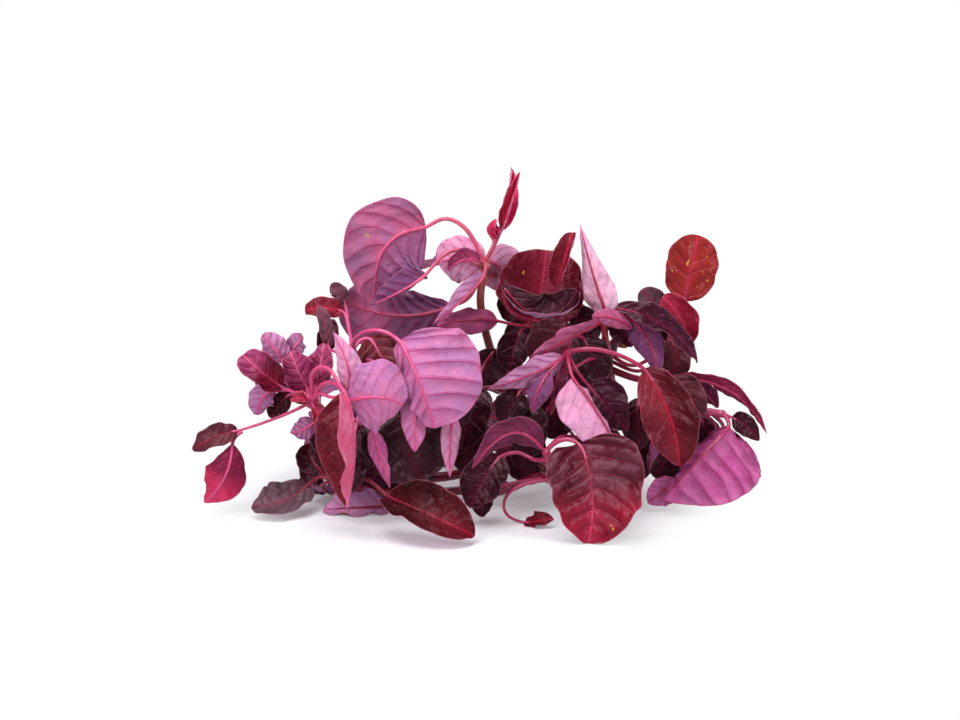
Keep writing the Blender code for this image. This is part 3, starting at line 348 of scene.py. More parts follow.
    Shoot("shoot_back_left",
          [place(-66, 83, 4), place(-74, 76, 8), place(-82, 65, 17), place(-84, 52, 34)],
          (2.5, 1.8), [
        Leaf((-86, 50, 41), (-97, 57, 40), (-108, 60, 38), 20, (-0.2, 0.9, -0.4)),
        Leaf((-80, 54, 48), (-80, 64, 56), (-78, 70, 64), 26, (0, 0.4, 0.9)),
        Leaf((-82, 38, 48), (-79, 26, 54), (-76, 16, 56), 20, (-0.6, 0.5, 0.7)),
        Leaf((-76, 44, 56), (-72, 42, 72), (-68, 28, 80), 28, (0, 0.8, 0.7)),
        Leaf((-66, 38, 54), (-54, 38, 66), (-46, 24, 74), 26, (0.2, 0.8, 0.6), root=0.8),
        Leaf((-72, 26, 40), (-70, 16, 44), (-66, 12, 44), 22, (-0.3, 1, 0.1), root=0.7),
    ]),
    Shoot("shoot_back",
          [place(16, 81, 4), place(5, 80, 13), place(-3, 76, 27), place(-4, 74, 42)],
          (2.5, 1.8), [
        Leaf((-8, 60, 68), (-16, 66, 74), (-26, 60, 80), 28, (-0.2, 0.8, 0.5)),
        Leaf((2, 60, 66), (14, 60, 70), (27, 56, 72), 22, (0.2, 0.7, 0.7)),
        Leaf((-4, 46, 74), (-8, 42, 86), (-12, 26, 88), 30, (-0.1, 0.5, 0.9)),
        Leaf((4, 44, 72), (16, 40, 82), (26, 26, 84), 28, (0.3, 0.5, 0.9), root=0.95),
        Leaf((-6, 66, 62), (-16, 76, 58), (-27, 80, 54), 22, (0, 0.2, 1)),
        Leaf((-14, 46, 66), (-30, 44, 72), (-42, 30, 74), 26, (-0.4, 0.7, 0.6), root=0.92),
        Leaf((6, 34, 68), (20, 33, 76), (34, 28, 74), 20, (0.2, 1, 0.3), root=0.8),
    ]),
    Shoot("shoot_back_right",
          [place(76, 82, 4), place(84, 74, 8), place(92, 64, 16), place(98, 52, 30)],
          (2.5, 1.8), [
        Leaf((96, 40, 43), (106, 30, 42), (117, 22, 40), 22, (0.3, 0.9, -0.3)),
        Leaf((90, 46, 50), (88, 54, 54), (86, 60, 60), 22, (0, 0.4, 0.9)),
        Leaf((96, 34, 50), (106, 22, 56), (112, 10, 58), 24, (0.6, 0.5, 0.7)),
        Leaf((90, 44, 56), (90, 42, 70), (88, 28, 78), 26, (0, 0.8, 0.7)),
        Leaf((82, 40, 52), (68, 40, 62), (58, 32, 70), 22, (-0.2, 0.8, 0.6), root=0.82),
        Leaf((98, 24, 42), (110, 18, 44), (120, 14, 42), 22, (0.4, 1, 0.1), root=0.85),
    ]),
]
print(len(SHOOTS), "shoots with", sum(len(shoot.leaves) for shoot in SHOOTS), "leaves")

# %% [markdown]
# ## Undergrowth
#
# A young shoot has many more leaves than the large ones: small dark ones low on the stem, in the shade. They
# fill the middle of the heap, and little light comes back from there, so they get the darkest tissues, which
# paint that shade into their colour. The frame's solids leave them out, and here they are added to the same
# shoots.

# %% Small leaves in the shade
UNDERGROWTH = {
    "shoot_front_left": [
        Leaf((-80, 15, 4), (-85, 6, 3), (-88, -2, 5), 18, (-0.2, 0.2, -1), root=0.95, taper=0.6),
        Leaf((-80, 27, 12), (-84, 20, 14), (-87, 11, 12), 13, (-0.1, 0.2, -1), root=0.97, taper=0.6),
        Leaf((-50, 22, -4), (-53, 14, -6), (-54, 5, -6), 20, (0.1, 0.1, -1), root=0.7, taper=0.6),
        Leaf((-40, 14, 2), (-43, 7, 0), (-44, -1, 1), 16, (0.2, 0.1, -1), root=0.6, taper=0.6),
        Leaf((-66, 24, 10), (-66, 14, 10), (-64, 3, 10), 22, FRONT, root=0.85, taper=0.6),
    ],
    "shoot_inner": [
        Leaf((0, 40, 4), (-4, 28, 2), (-8, 16, 2), 22, (0.1, 0.1, -1), root=0.8, taper=0.6),
        Leaf((8, 78, 8), (4, 68, 6), (0, 58, 6), 20, (0.2, 0.2, -1), root=0.95, taper=0.6),
        Leaf((14, 26, 8), (22, 18, 8), (30, 12, 10), 16, (0.1, 0.4, -1), root=0.6, taper=0.7),
        Leaf((-24, 30, 14), (-32, 18, 12), (-36, 6, 14), 22, (-0.1, 0.1, -1), root=0.75, taper=0.6),
        Leaf((6, 14, 14), (2, 6, 16), (-4, -1, 18), 16, (0, 0.3, -1), root=0.5, taper=0.7),
    ],
    "shoot_centre": [
        Leaf((36, 58, -8), (37, 46, -10), (35, 33, -10), 22, (0.1, 0.1, -1), root=0.85, taper=0.6),
        Leaf((52, 84, -2), (56, 73, -4), (60, 61, -4), 22, (-0.1, 0.1, -1), root=0.98, taper=0.65),
        Leaf((60, 70, 8), (52, 64, 8), (46, 54, 8), 20, (0.2, 0.2, -1), root=0.9, taper=0.6),
        Leaf((28, 40, -2), (24, 28, -2), (20, 18, 0), 18, (0.1, 0.2, -1), root=0.75, taper=0.6),
        Leaf((50, 30, 2), (58, 24, 0), (66, 14, 0), 18, (-0.1, 0.2, -1), root=0.7, taper=0.7),
    ],
    "shoot_upper_middle": [
        Leaf((24, 106, 14), (18, 100, 12), (13, 92, 12), 20, (0.1, 0.2, -1), root=0.9, taper=0.6),
        Leaf((26, 94, 12), (20, 88, 12), (12, 85, 12), 12, (0.1, 0.4, -1), root=0.85, taper=0.6),
        Leaf((46, 96, 12), (52, 90, 10), (54, 80, 10), 18, (0, 0.2, -1), root=0.9, taper=0.6),
    ],
    "shoot_upper_right": [
        Leaf((66, 92, 2), (71, 87, 0), (76, 79, 0), 13, (-0.1, 0.2, -1), root=0.9, taper=0.7),
        Leaf((84, 90, 10), (91, 85, 8), (96, 76, 8), 18, (-0.1, 0.2, -1), root=0.85, taper=0.6),
        Leaf((60, 62, 14), (62, 52, 14), (60, 40, 14), 20, FRONT, root=0.6, taper=0.6),
    ],
    "shoot_right": [
        Leaf((96, 34, -2), (93, 24, -4), (88, 13, -4), 20, (0.1, 0.2, -1), root=0.75, taper=0.6),
        Leaf((104, 28, 4), (100, 18, 4), (99, 8, 6), 18, (0, 0.2, -1), root=0.8, taper=0.6),
        Leaf((110, 44, 0), (114, 36, -2), (116, 27, 0), 13, (-0.1, 0.1, -1), root=0.85, taper=0.6),
        Leaf((84, 40, 6), (80, 26, 4), (78, 12, 6), 20, (0.1, 0.1, -1), root=0.65, taper=0.6),
    ],
    "shoot_left": [
        Leaf((-78, 76, -2), (-76, 84, -4), (-73, 93, -2), 11, (0, 0, -1), root=0.98, taper=0.7),
        Leaf((-78, 44, -10), (-76, 34, -12), (-74, 22, -10), 18, (-0.1, 0.1, -1), root=0.9, taper=0.6),
        Leaf((-88, 54, -6), (-94, 58, -4), (-97, 50, -2), 12, (0, 0.3, -1), root=0.95, taper=0.6),
    ],
    "shoot_centre_left": [
        Leaf((-50, 60, -12), (-46, 48, -14), (-44, 34, -12), 22, (0, 0.1, -1), root=0.88, taper=0.6),
        Leaf((-20, 60, -22), (-14, 50, -24), (-8, 40, -22), 20, (0, 0.2, -1), root=0.94, taper=0.6),
    ],
}
plain_count = {shoot.name: len(shoot.leaves) for shoot in SHOOTS}
grown = [shoot._replace(leaves=shoot.leaves + UNDERGROWTH.get(shoot.name, [])) for shoot in SHOOTS]
print(sum(len(leaves) for leaves in UNDERGROWTH.values()), "leaves of undergrowth")

# %% [markdown]
# ## The shape of a blade
#
# The midrib is a curve through three points. Across it, each half of the blade is an arc: it
# leaves the midrib at the fold angle and turns through the curl angle before it reaches the
# edge. An arc keeps the blade's true width however far it curls, which a lifted edge would
# not. The outline is the product of two powers, one rising from the base and one falling to
# the tip, so the same formula gives round leaves, spoon-shaped ones and pointed ones.

# %% Blade constants
BLADE_THICKNESS = 0.7
CLEARANCE = 0.45
STALK_ROOT_RADIUS = 1.25
STALK_BLADE_RADIUS = 0.95
RIB_END_RADIUS = 0.45
RIB_SHARES = (0.3,)
THINNEST_STALK = 0.55
STALK_WIDTH = 60
ARCH = 0.16
WAVES = 2.6
GOLDEN_ANGLE = 2.4


# %% Midrib, outline and blade surface
def unit(vectors):
    """Vectors of length one, along the last axis."""
    return vectors / np.linalg.norm(vectors, axis=-1, keepdims=True)


def by_half(values, across):
    """The left half's value where across is below 0 and the right half's elsewhere, from one
    number for both or two."""
    return np.where(across < 0, *np.broadcast_to(values, 2))


def midrib(leaf, shift, share):
    """Points and directions on the curve that starts at the base and passes the middle half way."""
    base, middle, tip = (seen(a, u, b + shift) for a, u, b in (leaf.base, leaf.middle, leaf.tip))
    control = 2 * middle - (base + tip) / 2
    share = np.asarray(share, float)[..., None]
    points = (1 - share) ** 2 * base + 2 * share * (1 - share) * control + share ** 2 * tip
    return points, unit(2 * (1 - share) * (control - base) + 2 * share * (tip - control))


def outline(leaf, share):
    """Half width of the blade as a share of its widest: two powers that meet at one."""
    widest = leaf.heel / (leaf.heel + leaf.taper)
    rising = np.clip(share / widest, 0, None) ** leaf.heel
    falling = np.clip((1 - share) / (1 - widest), 0, None) ** leaf.taper
    return rising * falling


def half_width(leaf, share, across):
    """Millimetres from the midrib to the edge on the point's own side: half the width times the
    outline."""
    return by_half(leaf.width, across) / 2 * outline(leaf, share)


def upper_way(leaf, along):
    """The way that the upper side looks, without its part along the midrib."""
    faces = seen_direction(*leaf.faces)
    return unit(faces - (along @ faces)[..., None] * along)


def blade_surface(leaf, number, shift, share, across):
    """Points of the blade's middle surface: share runs from base to tip, and across from -1 at
    the left edge to 1 at the right. Each half is an arc that leaves the midrib at the fold
    and turns through the curl on its way to the edge, which waves."""
    rib, along = midrib(leaf, shift, share)
    upward = upper_way(leaf, along)
    sideways = np.cross(along, upward)
    out = np.abs(across)
    fold, curl = np.radians(by_half(leaf.fold, across)), np.radians(by_half(leaf.curl, across))
    half = half_width(leaf, share, across)
    bend = fold + curl * out
    reach = half * (np.sin(bend) - np.sin(fold)) / curl * np.sign(across)
    lift = half * (np.cos(fold) - np.cos(bend)) / curl
    phase = number * GOLDEN_ANGLE + by_half((GOLDEN_ANGLE, 0), across)
    lift = lift + leaf.wave * out ** 2 * outline(leaf, share) * np.sin(2 * math.pi * WAVES * share + phase)
    points = rib + reach[..., None] * sideways + lift[..., None] * upward
    points[..., 2] = np.maximum(points[..., 2], BLADE_THICKNESS / 2)
    return points


def row_shares(steps):
    """Shares of the length that crowd towards both ends, where the outline is round: half a wave
    of a cosine."""
    return (1 - np.cos(np.pi * steps)) / 2


print("the widest blade is", max(np.max(leaf.width) for shoot in SHOOTS for leaf in shoot.leaves), "mm wide")


# %% [markdown]
# ## Stems and stalks
#
# A stem is a smooth curve through a few points. A stalk leaves it at a given share of its
# length, arches over and runs into the blade.

# %% Curves for stems and stalks
STEM_SPANS = 40
CURVE_STEPS = 8


def smooth_route(points, count):
    """Evenly spaced points on the curve through the given ones: each span is the cubic whose
    end directions run parallel to the line between the neighbouring points."""
    points = np.asarray(points, float)
    ends = np.vstack([2 * points[0] - points[1], points, 2 * points[-1] - points[-2]])
    steps = np.linspace(0, 1, CURVE_STEPS, endpoint=False)[:, None]
    fine = []
    for before, start, end, after in zip(ends, ends[1:], ends[2:], ends[3:]):
        fine.append(start + 0.5 * steps * (end - before + steps * (
            2 * before - 5 * start + 4 * end - after + steps * (3 * start - before - 3 * end + after))))
    fine = np.vstack([*fine, points[-1:]])
    along = np.concatenate([[0], np.cumsum(np.linalg.norm(np.diff(fine, axis=0), axis=1))])
    wanted = np.linspace(0, along[-1], count)
    return np.stack([np.interp(wanted, along, fine[:, i]) for i in range(3)], axis=1)


def stem_point(shoot, share):
    """The point at that share of the stem's length, and the stem's direction there."""
    route = smooth_route(shoot.stem, STEM_SPANS + 1)
    index = min(int(round(share * STEM_SPANS)), STEM_SPANS - 1)
    return route[index + (share >= 1)], unit(route[index + 1] - route[index])


def stalk_scale(leaf):
    """A small leaf has a thinner stalk: more than half, and a share that grows with its width."""
    return min(1.0, THINNEST_STALK + np.max(leaf.width) / STALK_WIDTH)


def stalk_radii(leaf, count):
    """Radii along a stalk: thinner towards the blade, and thinnest along its midrib."""
    free = np.linspace(STALK_ROOT_RADIUS, STALK_BLADE_RADIUS, count - len(RIB_SHARES))
    on_rib = np.linspace(STALK_BLADE_RADIUS, RIB_END_RADIUS, len(RIB_SHARES) + 1)[1:]
    return stalk_scale(leaf) * np.concatenate([free, on_rib])


def stalk_route(shoot, leaf, shift, sway):
    """The leaf stalk's points, from inside the stem to well along the midrib. They move back with
    the blade, the more the nearer they are to it. A stalk with no points of its own arches by a
    share of the gap that it spans."""
    if isinstance(leaf.root, tuple):
        root, rising = seen(*leaf.root), None
    else:
        root, rising = stem_point(shoot, leaf.root)
    (base,), (entering,) = midrib(leaf, shift, [0.0])
    if leaf.via:
        steps = np.arange(1, len(leaf.via) + 1) / (len(leaf.via) + 1)
        via = [seen(a, u, b + shift * step) for step, (a, u, b) in zip(steps, leaf.via)]
    else:
        gap = np.linalg.norm(base - root)
        arch = -entering if rising is None else rising - entering
        via = [(root + base) / 2 + ARCH * gap * arch]
    middle = len(via) // 2
    via[middle] = via[middle] + sway
    outside = smooth_route([root, *via, base], max(2 + len(via), 4) if len(via) > 1 else 3)
    route = np.vstack([outside, midrib(leaf, shift, RIB_SHARES)[0]])
    route[:, 2] = np.maximum(route[:, 2], stalk_radii(leaf, len(route)))
    return route


# %% [markdown]
# ## No two leaves cross
#
# In a real heap the leaves push each other aside. Here they are laid down one by one, the
# nearest to the eye first. A leaf that would cut through one that lies there already is moved
# along the line of sight, where the picture hardly changes, or its stalk sways a little. This
# is the same rule with the same coarse shapes as in the frame's source, so it comes to the
# same places.

# %% Where a leaf may move
SHIFTS = [0, 2, -2, 4, -4, 6, 8, -6, 10, 12, -8, 14, 16, 18, 20]
SWAYS = [(0, 0, 0), (0, 0, 4), (0, 0, -4), (4, 0, 0), (-4, 0, 0), (0, 5, 0), (0, -5, 0), (0, 0, 8),
         (0, 5, 5), (7, 0, 4), (-7, 0, 4), (0, -8, 3)]
STEM_STEPS = 24
BIG_BLADE, SMALL_BLADE, BENT = 33, 14, 24
print(len(SHIFTS) * len(SWAYS), "places to try for each leaf")


# %% Coarse shapes for finding what a leaf would cross
def grid_faces(rows, columns):
    """Corner numbers of the quads of a grid of points, row by row."""
    first = (np.arange(rows)[:, None] * (columns + 1) + np.arange(columns)).reshape(-1, 1)
    return first + np.array([0, 1, columns + 2, columns + 1])


def tube_hull(route, radii):
    """A four-sided tube round a route, for finding what it would cross."""
    along = unit(np.gradient(route, axis=0))
    first = unit(np.cross(along, (0.3, 0.2, 0.93)))
    second = np.cross(along, first)
    rings = [route + radii[:, None] * way for way in (first, second, -first, -second, first)]
    points = np.stack(rings, axis=1)
    return points.reshape(-1, 3), grid_faces(len(route) - 1, 4)


def sheet_hull(points):
    """Both faces of a blade with its clearance, and the rim between them."""
    rows, columns = points.shape[0] - 1, points.shape[1] - 1
    normal = np.cross(np.gradient(points, axis=0), np.gradient(points, axis=1))
    normal[0], normal[-1] = normal[1], normal[-2]
    offset = (BLADE_THICKNESS / 2 + CLEARANCE) * unit(normal)
    quads = grid_faces(rows, columns)
    count = points.shape[0] * points.shape[1]
    edge = np.arange(rows)
    left = edge * (columns + 1)
    rims = [np.stack([side, side + columns + 1, side + columns + 1 + count, side + count], axis=1)
            for side in (left, left + columns)]
    both = np.concatenate([(points + offset).reshape(-1, 3), (points - offset).reshape(-1, 3)])
    return both, np.concatenate([quads, quads + count, *rims])


Hull = namedtuple("Hull", "shoot kind tree low high")


def hull_of(shoot, kind, points, faces):
    """The search tree and the box of one shape."""
    return Hull(shoot.name, kind, BVHTree.FromPolygons(points.tolist(), faces.tolist()),
                points.min(axis=0), points.max(axis=0))


def crosses(hull, other):
    """Whether two hulls cross where they may not. A shoot's own stem and stalks are left out,
    because they grow together."""
    if hull.shoot == other.shoot and not hull.kind == other.kind == "blade":
        return False
    if (hull.low > other.high).any() or (other.low > hull.high).any():
        return False
    return bool(hull.tree.overlap(other.tree))


def stem_hull(shoot):
    """The clearance shape of a stem."""
    route = smooth_route(shoot.stem, STEM_STEPS)
    return hull_of(shoot, "stem", *tube_hull(route, np.full(len(route), max(shoot.radii) + CLEARANCE)))


def coarse_grid(leaf):
    """Rows and columns of faces on a coarse blade: more on a big or a bent one."""
    bend = np.abs(np.add(leaf.fold, leaf.curl)).max()
    wide = np.max(leaf.width)
    if wide > BIG_BLADE:
        return 5, 4
    return (4, 4) if bend > BENT and wide > SMALL_BLADE else (4, 2)


def leaf_hulls(shoot, leaf, number, shift, sway):
    """The clearance shapes of a blade and its stalk."""
    rows, columns = coarse_grid(leaf)
    shares = row_shares(np.linspace(0, 1, rows + 1))
    share, across = np.meshgrid(shares, np.linspace(-1, 1, columns + 1), indexing="ij")
    blade = sheet_hull(blade_surface(leaf, number, shift, share, across))
    route = stalk_route(shoot, leaf, shift, sway)
    stalk = tube_hull(route[:-1], stalk_radii(leaf, len(route))[:-1] + CLEARANCE)
    return hull_of(shoot, "blade", *blade), hull_of(shoot, "stalk", *stalk)


# %% Lay the leaves down
def settle(shoots, plain_count):
    """Lays the leaves down one by one, the nearest to the eye first. A leaf that would cross
    another moves along the line of sight, or its stalk sways, until it is clear. The first
    leaves of each shoot, which the frame holds too, come before all the others. Returns
    {(shoot, leaf number): (shift, sway)}."""
    laid = [stem_hull(shoot) for shoot in shoots]
    order = [(number >= plain_count[shoot.name], leaf.base[2] + 2 * leaf.middle[2] + leaf.tip[2], i, number)
             for i, shoot in enumerate(shoots) for number, leaf in enumerate(shoot.leaves)]
    tries = sorted(((shift, sway) for shift in SHIFTS for sway in SWAYS),
                   key=lambda pair: SHIFTS.index(pair[0]) + SWAYS.index(pair[1]))
    settled = {}
    for _, _, i, number in sorted(order):
        shoot = shoots[i]
        leaf = shoot.leaves[number]
        for shift, sway in tries:
            hulls = leaf_hulls(shoot, leaf, number, shift, sway)
            if not any(crosses(hull, other) for hull in hulls for other in laid):
                laid.extend(hulls)
                settled[shoot.name, number] = (shift, sway)
                break
    return settled


settled = settle(grown, plain_count)
print(len(settled), "leaves laid,", sum(shift != 0 for shift, _ in settled.values()), "of them moved")
print("no room for", sum(len(shoot.leaves) for shoot in grown) - len(settled))

# %% [markdown]
# ## The colours of amaranth
#
# All the colour is betalain, a red pigment in the sap. The upper side has most of it over green tissue,
# which together look maroon to nearly black. The underside has no green, so it is pink, and its matt skin
# turns violet-grey where it reflects the light: the violet-grey undersides and patches below are partly the
# skin's own bloom and partly painted sheen. Young leaves are crimson all through. Veins hold the most sap
# and stay bright on both sides.
#
# Each side of a leaf names a tissue: its own colour, the colour of the patches on it, and the
# colour of its veins.

# %% Tissues
Tissue = namedtuple("Tissue", "flesh patch vein")
SAP = {
    "rose": "C06690 A86C96 DA4E86",
    "orchid_pink": "D884B8 C684BC E85694",
    "pink": "F8A8D4 ECAED6 F07CB0",
    "coral": "FA709C FF8CB4 F8789C",
    "blush": "FFC8E4 FAD0EA E87CB0",
    "claret": "640C20 701226 B02448",
    "magenta": "D864AA DE7CBA D8548F",
    "orchid": "CC98C4 B482B2 D2488A",
    "mauve": "9C5C88 8A5888 C4467E",
    "violet": "804C7A 6E4470 B04278",
    "grape": "A44C78 8E446E CC4C84",
    "plum": "6A2848 582644 B83A70",
    "lilac": "A08CA6 8C7898 B06090",
    "ruby": "84143C 74123A C04070",
    "maroon": "4A0E16 5A161C A41C38",
    "garnet": "4A0A1A 5C1224 C02C54",
    "wine": "240810 320C18 66122A",
    "prune": "300E1E 3C142A 701A3C",
    "dusk": "52262E 622F38 84223A",
    "crimson": "840E26 9A1630 D84068",
    "raspberry": "7C2050 963064 E06490",
    "brick": "8A2620 9C3024 CC2C44",
    "russet": "641C2A 74222E C41C3C",
    # The cup leaf's tissue: nearly black, a painted shade for the inside of its hollow.
    "blood": "280406 38080C 781420",
    "slate": "561A28 683040 9A2444",
    "ash": "584450 68525C 8C3048",
    "bark": "301A20 40222A 5A1628",
    "lime": "8C8A30 A89A44 B06A40",
    "scarlet": "D01C50 E43468 F06090",
}
TISSUES = {word: Tissue(*colours.split()) for word, colours in SAP.items()}
print(len(TISSUES), "tissues")

# %% [markdown]
# ## Which tissue each leaf shows
#
# The words stand in the order of the list of leaves: upper side, then underside. Two names
# with a plus between them are the left and the right half of that side, and with an arrow
# head between them the first passes into the second towards the tip.

# %% The tissues of each shoot's leaves
SKINS = {
    "shoot_crown": [
        "maroon rose+mauve", "maroon violet", "maroon violet>rose", "maroon pink", "maroon pink",
        "scarlet pink", "crimson+scarlet pink", "scarlet scarlet", "raspberry mauve", "crimson orchid",
        "rose pink", "maroon mauve"],
    "shoot_upper_middle": [
        "claret mauve", "russet rose", "wine orchid", "dusk mauve", "wine plum", "maroon grape",
        "maroon rose"],
    "shoot_upper_right": [
        "maroon blush", "maroon violet", "prune pink", "ash mauve", "crimson rose", "brick rose",
        "dusk mauve", "crimson rose", "maroon rose", "dusk lilac", "lime lime", "maroon mauve",
        "maroon rose"],
    "shoot_centre": [
        "maroon orchid", "maroon pink", "wine plum", "prune plum", "wine violet", "bark plum",
        "maroon+russet mauve"],
    "shoot_right": [
        "crimson ruby", "wine plum", "maroon magenta", "dusk mauve", "maroon plum", "wine plum",
        "maroon violet", "wine plum", "maroon magenta", "maroon mauve", "maroon rose"],
    "shoot_front": [
        "slate>crimson mauve", "wine plum", "maroon mauve", "maroon plum", "wine plum", "wine plum",
        "wine plum"],
    "shoot_front_left": [
        # The first leaf is a cup whose dark tissue paints the shade in its hollow.
        "blood>maroon pink", "maroon orchid", "wine mauve", "ash mauve", "wine plum", "wine plum",
        "wine mauve"],
    "shoot_left": [
        "maroon orchid_pink", "maroon pink", "russet coral", "dusk rose", "maroon ruby>scarlet",
        "maroon orchid", "maroon orchid", "garnet>raspberry orchid", "maroon orchid", "wine plum",
        "raspberry orchid", "raspberry orchid", "maroon orchid", "crimson rose", "crimson rose",
        "maroon magenta", "maroon mauve"],
    "shoot_centre_left": [
        "maroon orchid_pink", "maroon orchid_pink", "maroon pink", "bark mauve", "maroon plum", "wine plum",
        "ash mauve", "russet mauve", "ash mauve", "maroon mauve"],
    "shoot_inner": ["wine plum", "bark plum", "wine plum", "wine violet", "maroon violet"],
    "shoot_back_left": [
        "maroon rose", "wine mauve", "crimson rose", "maroon mauve", "dusk orchid", "wine plum"],
    "shoot_back": [
        "maroon mauve", "wine rose", "crimson orchid", "maroon rose", "dusk mauve", "maroon orchid",
        "wine plum"],
    "shoot_back_right": [
        "crimson rose", "wine mauve", "maroon rose", "dusk mauve", "maroon orchid", "wine plum"],
}
# The undergrowth gets the darkest tissues, which paint the shade of the heap's middle into its colour.
SHADE_PAINTED_SKINS = ["wine plum", "bark plum", "prune violet", "wine mauve", "maroon plum"]
for shoot in grown:
    added = [SHADE_PAINTED_SKINS[number % len(SHADE_PAINTED_SKINS)] for number in range(len(UNDERGROWTH.get(shoot.name, [])))]
    SKINS[shoot.name] = SKINS[shoot.name] + added
    assert len(SKINS[shoot.name]) == len(shoot.leaves), shoot.name

# %% [markdown]
# ## Flecks
#
# A few leaves have small yellow scars. Each is given by its place on the blade and its size.

# %% Yellow flecks: share of the length, millimetres to the side, radius
FLECKS = {
    ("shoot_crown", 0): [(0.485, -10.3, 0.75), (0.487, -9.1, 0.6)],
    ("shoot_upper_middle", 0): [(0.68, -10.5, 0.7), (0.64, -10.4, 0.5)],
    ("shoot_upper_right", 5): [
        (0.55, -2.6, 0.9), (0.59, -2.0, 0.7), (0.80, -3.0, 0.5), (0.86, 0.5, 0.4), (0.72, 6.5, 0.5),
        (0.40, -9.5, 0.5), (0.36, 9.5, 0.6), (0.30, -6, 0.4), (0.48, 6.5, 0.3), (0.24, 5, 0.4)],
    ("shoot_front", 0): [(0.80, -9.0, 0.6), (0.82, -10.3, 0.5)],
}

# %% [markdown]
# ## Quilted leaves
#
# Fast-grown leaves bulge strongly between their veins, and the youngest are crinkled. All
# the others are nearly smooth.

# %% How strongly each quilted leaf bulges, and how strongly its veins and their painted shade show
QUILTED = {
    ("shoot_front", 0): 1.9, ("shoot_right", 2): 2.8, ("shoot_centre_left", 0): 1.1, ("shoot_crown", 0): 0.8,
    ("shoot_crown", 1): 0.9, ("shoot_crown", 2): 0.8, ("shoot_left", 10): 1.6, ("shoot_left", 11): 1.6,
    ("shoot_left", 12): 1.2, ("shoot_left", 7): 1.2, ("shoot_left", 5): 0.9, ("shoot_crown", 8): 1.4,
    ("shoot_centre_left", 4): 1.0, ("shoot_centre", 0): 0.7, ("shoot_front", 3): 0.9,
    ("shoot_front_left", 0): 0.05, ("shoot_left", 0): 0.25, ("shoot_upper_middle", 0): 0.1,
    ("shoot_left", 2): 0.1, ("shoot_centre", 1): 0.15, ("shoot_upper_right", 0): 0.15,
}

# %% [markdown]
# ## Leaves that need a touch more
#
# A plain solid has few corners, so its round edges fall a little short. The fine edges of the
# largest leaves reach past them again. Two words describe the rest: a lobe is the rounded part
# of a blade that reaches back beside the stalk, and a blunt leaf has no drawn-out tip.

# %% Reach, lobes and blunt tips
# The reach of the fine blade as a share of its width: one number, or the left and right half.
BROADER = {("shoot_right", 2): 1.12, ("shoot_front", 0): 1.07, ("shoot_crown", 0): (1.09, 0.93)}
# How far the edge slides back towards the stalk, as a share of its distance from the midrib.
LOBED = {("shoot_right", 2): 0.3}
# The power of the outline at the tip, which is lower where the tip is rounder.
BLUNT = {("shoot_right", 2): 0.42, ("shoot_front", 0): 0.67, ("shoot_crown", 7): 0.32}
print(len(QUILTED), "leaves with a quilt of their own")
print(len({**BROADER, **LOBED, **BLUNT}), "leaves with a touch more")

# %% [markdown]
# ## Stem and stalk colours
#
# Stems and stalks are full of sap: hot pink on the shoots whose leaves show their underside,
# and darker crimson on the others. The first colour is the cut end, the second the stem's tip
# and the third the stalks.

# %% The colours of each shoot's stem and stalks
STEMS = {
    "shoot_crown": ("7E1C3A", "BC5C58", "E8588C"),
    "shoot_upper_middle": ("6E1228", "8E2038", "A82048"),
    "shoot_upper_right": ("7A1430", "9C1C3E", "B82A54"),
    "shoot_centre": ("7A1432", "A82C50", "B83260"),
    "shoot_right": ("8A1C3C", "C04878", "B83462"),
    "shoot_front": ("7A1430", "AC2C58", "BE3A68"),
    "shoot_front_left": ("7A1430", "8E1C3C", "98243E"),
    "shoot_left": ("8A1C3C", "D4386E", "E65C94"),
    "shoot_centre_left": ("8A1C3C", "C03064", "E85E9A"),
    "shoot_inner": ("5C1024", "6E142C", "8E1C3A"),
    "shoot_back_left": ("7A1430", "A82C50", "C03464"),
    "shoot_back": ("7A1430", "B02C54", "C83C6C"),
    "shoot_back_right": ("7A1430", "A82C50", "C03464"),
}


# %% [markdown]
# ## From numbers to meshes
#
# Every fine surface here is a grid of points. Both skins of a blade are such grids, joined at
# their rim into a closed shell. Colours and distances that a finish needs later, such as how
# far a point is from the midrib, are written on the points as attributes.

# %% sRGB hex to linear
def linear(hex_colour):
    """The linear values of an sRGB colour: the power of 2.4 that screens apply, taken back."""
    srgb = np.array([int(hex_colour[i:i + 2], 16) for i in (0, 2, 4)]) / 255
    return np.where(srgb <= 0.04045, srgb / 12.92, ((srgb + 0.055) / 1.055) ** 2.4)


# %% One mesh from many patches
def add_piece(name, patches, material):
    """One object from a list of patches. A patch is (points, faces, {attribute: values}), with
    three-number values as vectors or, where the name ends in colour, as colours."""
    mesh = bpy.data.meshes.new(name)
    starts = np.cumsum([0] + [len(points) for points, _, _ in patches])
    points = np.concatenate([points for points, _, _ in patches]) * MM
    faces = [face for start, (_, some, _) in zip(starts, patches) for face in (some + start).tolist()]
    faces = [face if face[2] != face[3] else face[:3] for face in faces]
    mesh.from_pydata(points, [], faces)
    for key in patches[0][2]:
        values = np.concatenate([extra[key] for _, _, extra in patches]).astype(np.float32)
        if key.endswith("colour"):
            layer = mesh.attributes.new(key, "FLOAT_COLOR", "POINT")
            layer.data.foreach_set("color", np.column_stack([values, np.ones(len(values))]).ravel())
        else:
            layer = mesh.attributes.new(key, "FLOAT_VECTOR", "POINT")
            layer.data.foreach_set("vector", values.ravel())
    mesh.shade_smooth()
    mesh.materials.append(material)
    piece = bpy.data.objects.new(name, mesh)
    bpy.context.scene.collection.objects.link(piece)
    return piece


# %% [markdown]
# ## The fine blade
#
# The plain solids have a handful of faces for each leaf. A real blade is never that smooth:
# five to eight side veins leave the midrib on each side, and the tissue between them bulges up
# like a quilt. The edge waves on a smaller scale as well. The side veins run along lines on
# which one number, the course, is whole. It grows towards the tip and falls towards the edge,
# which makes the veins sweep forward.

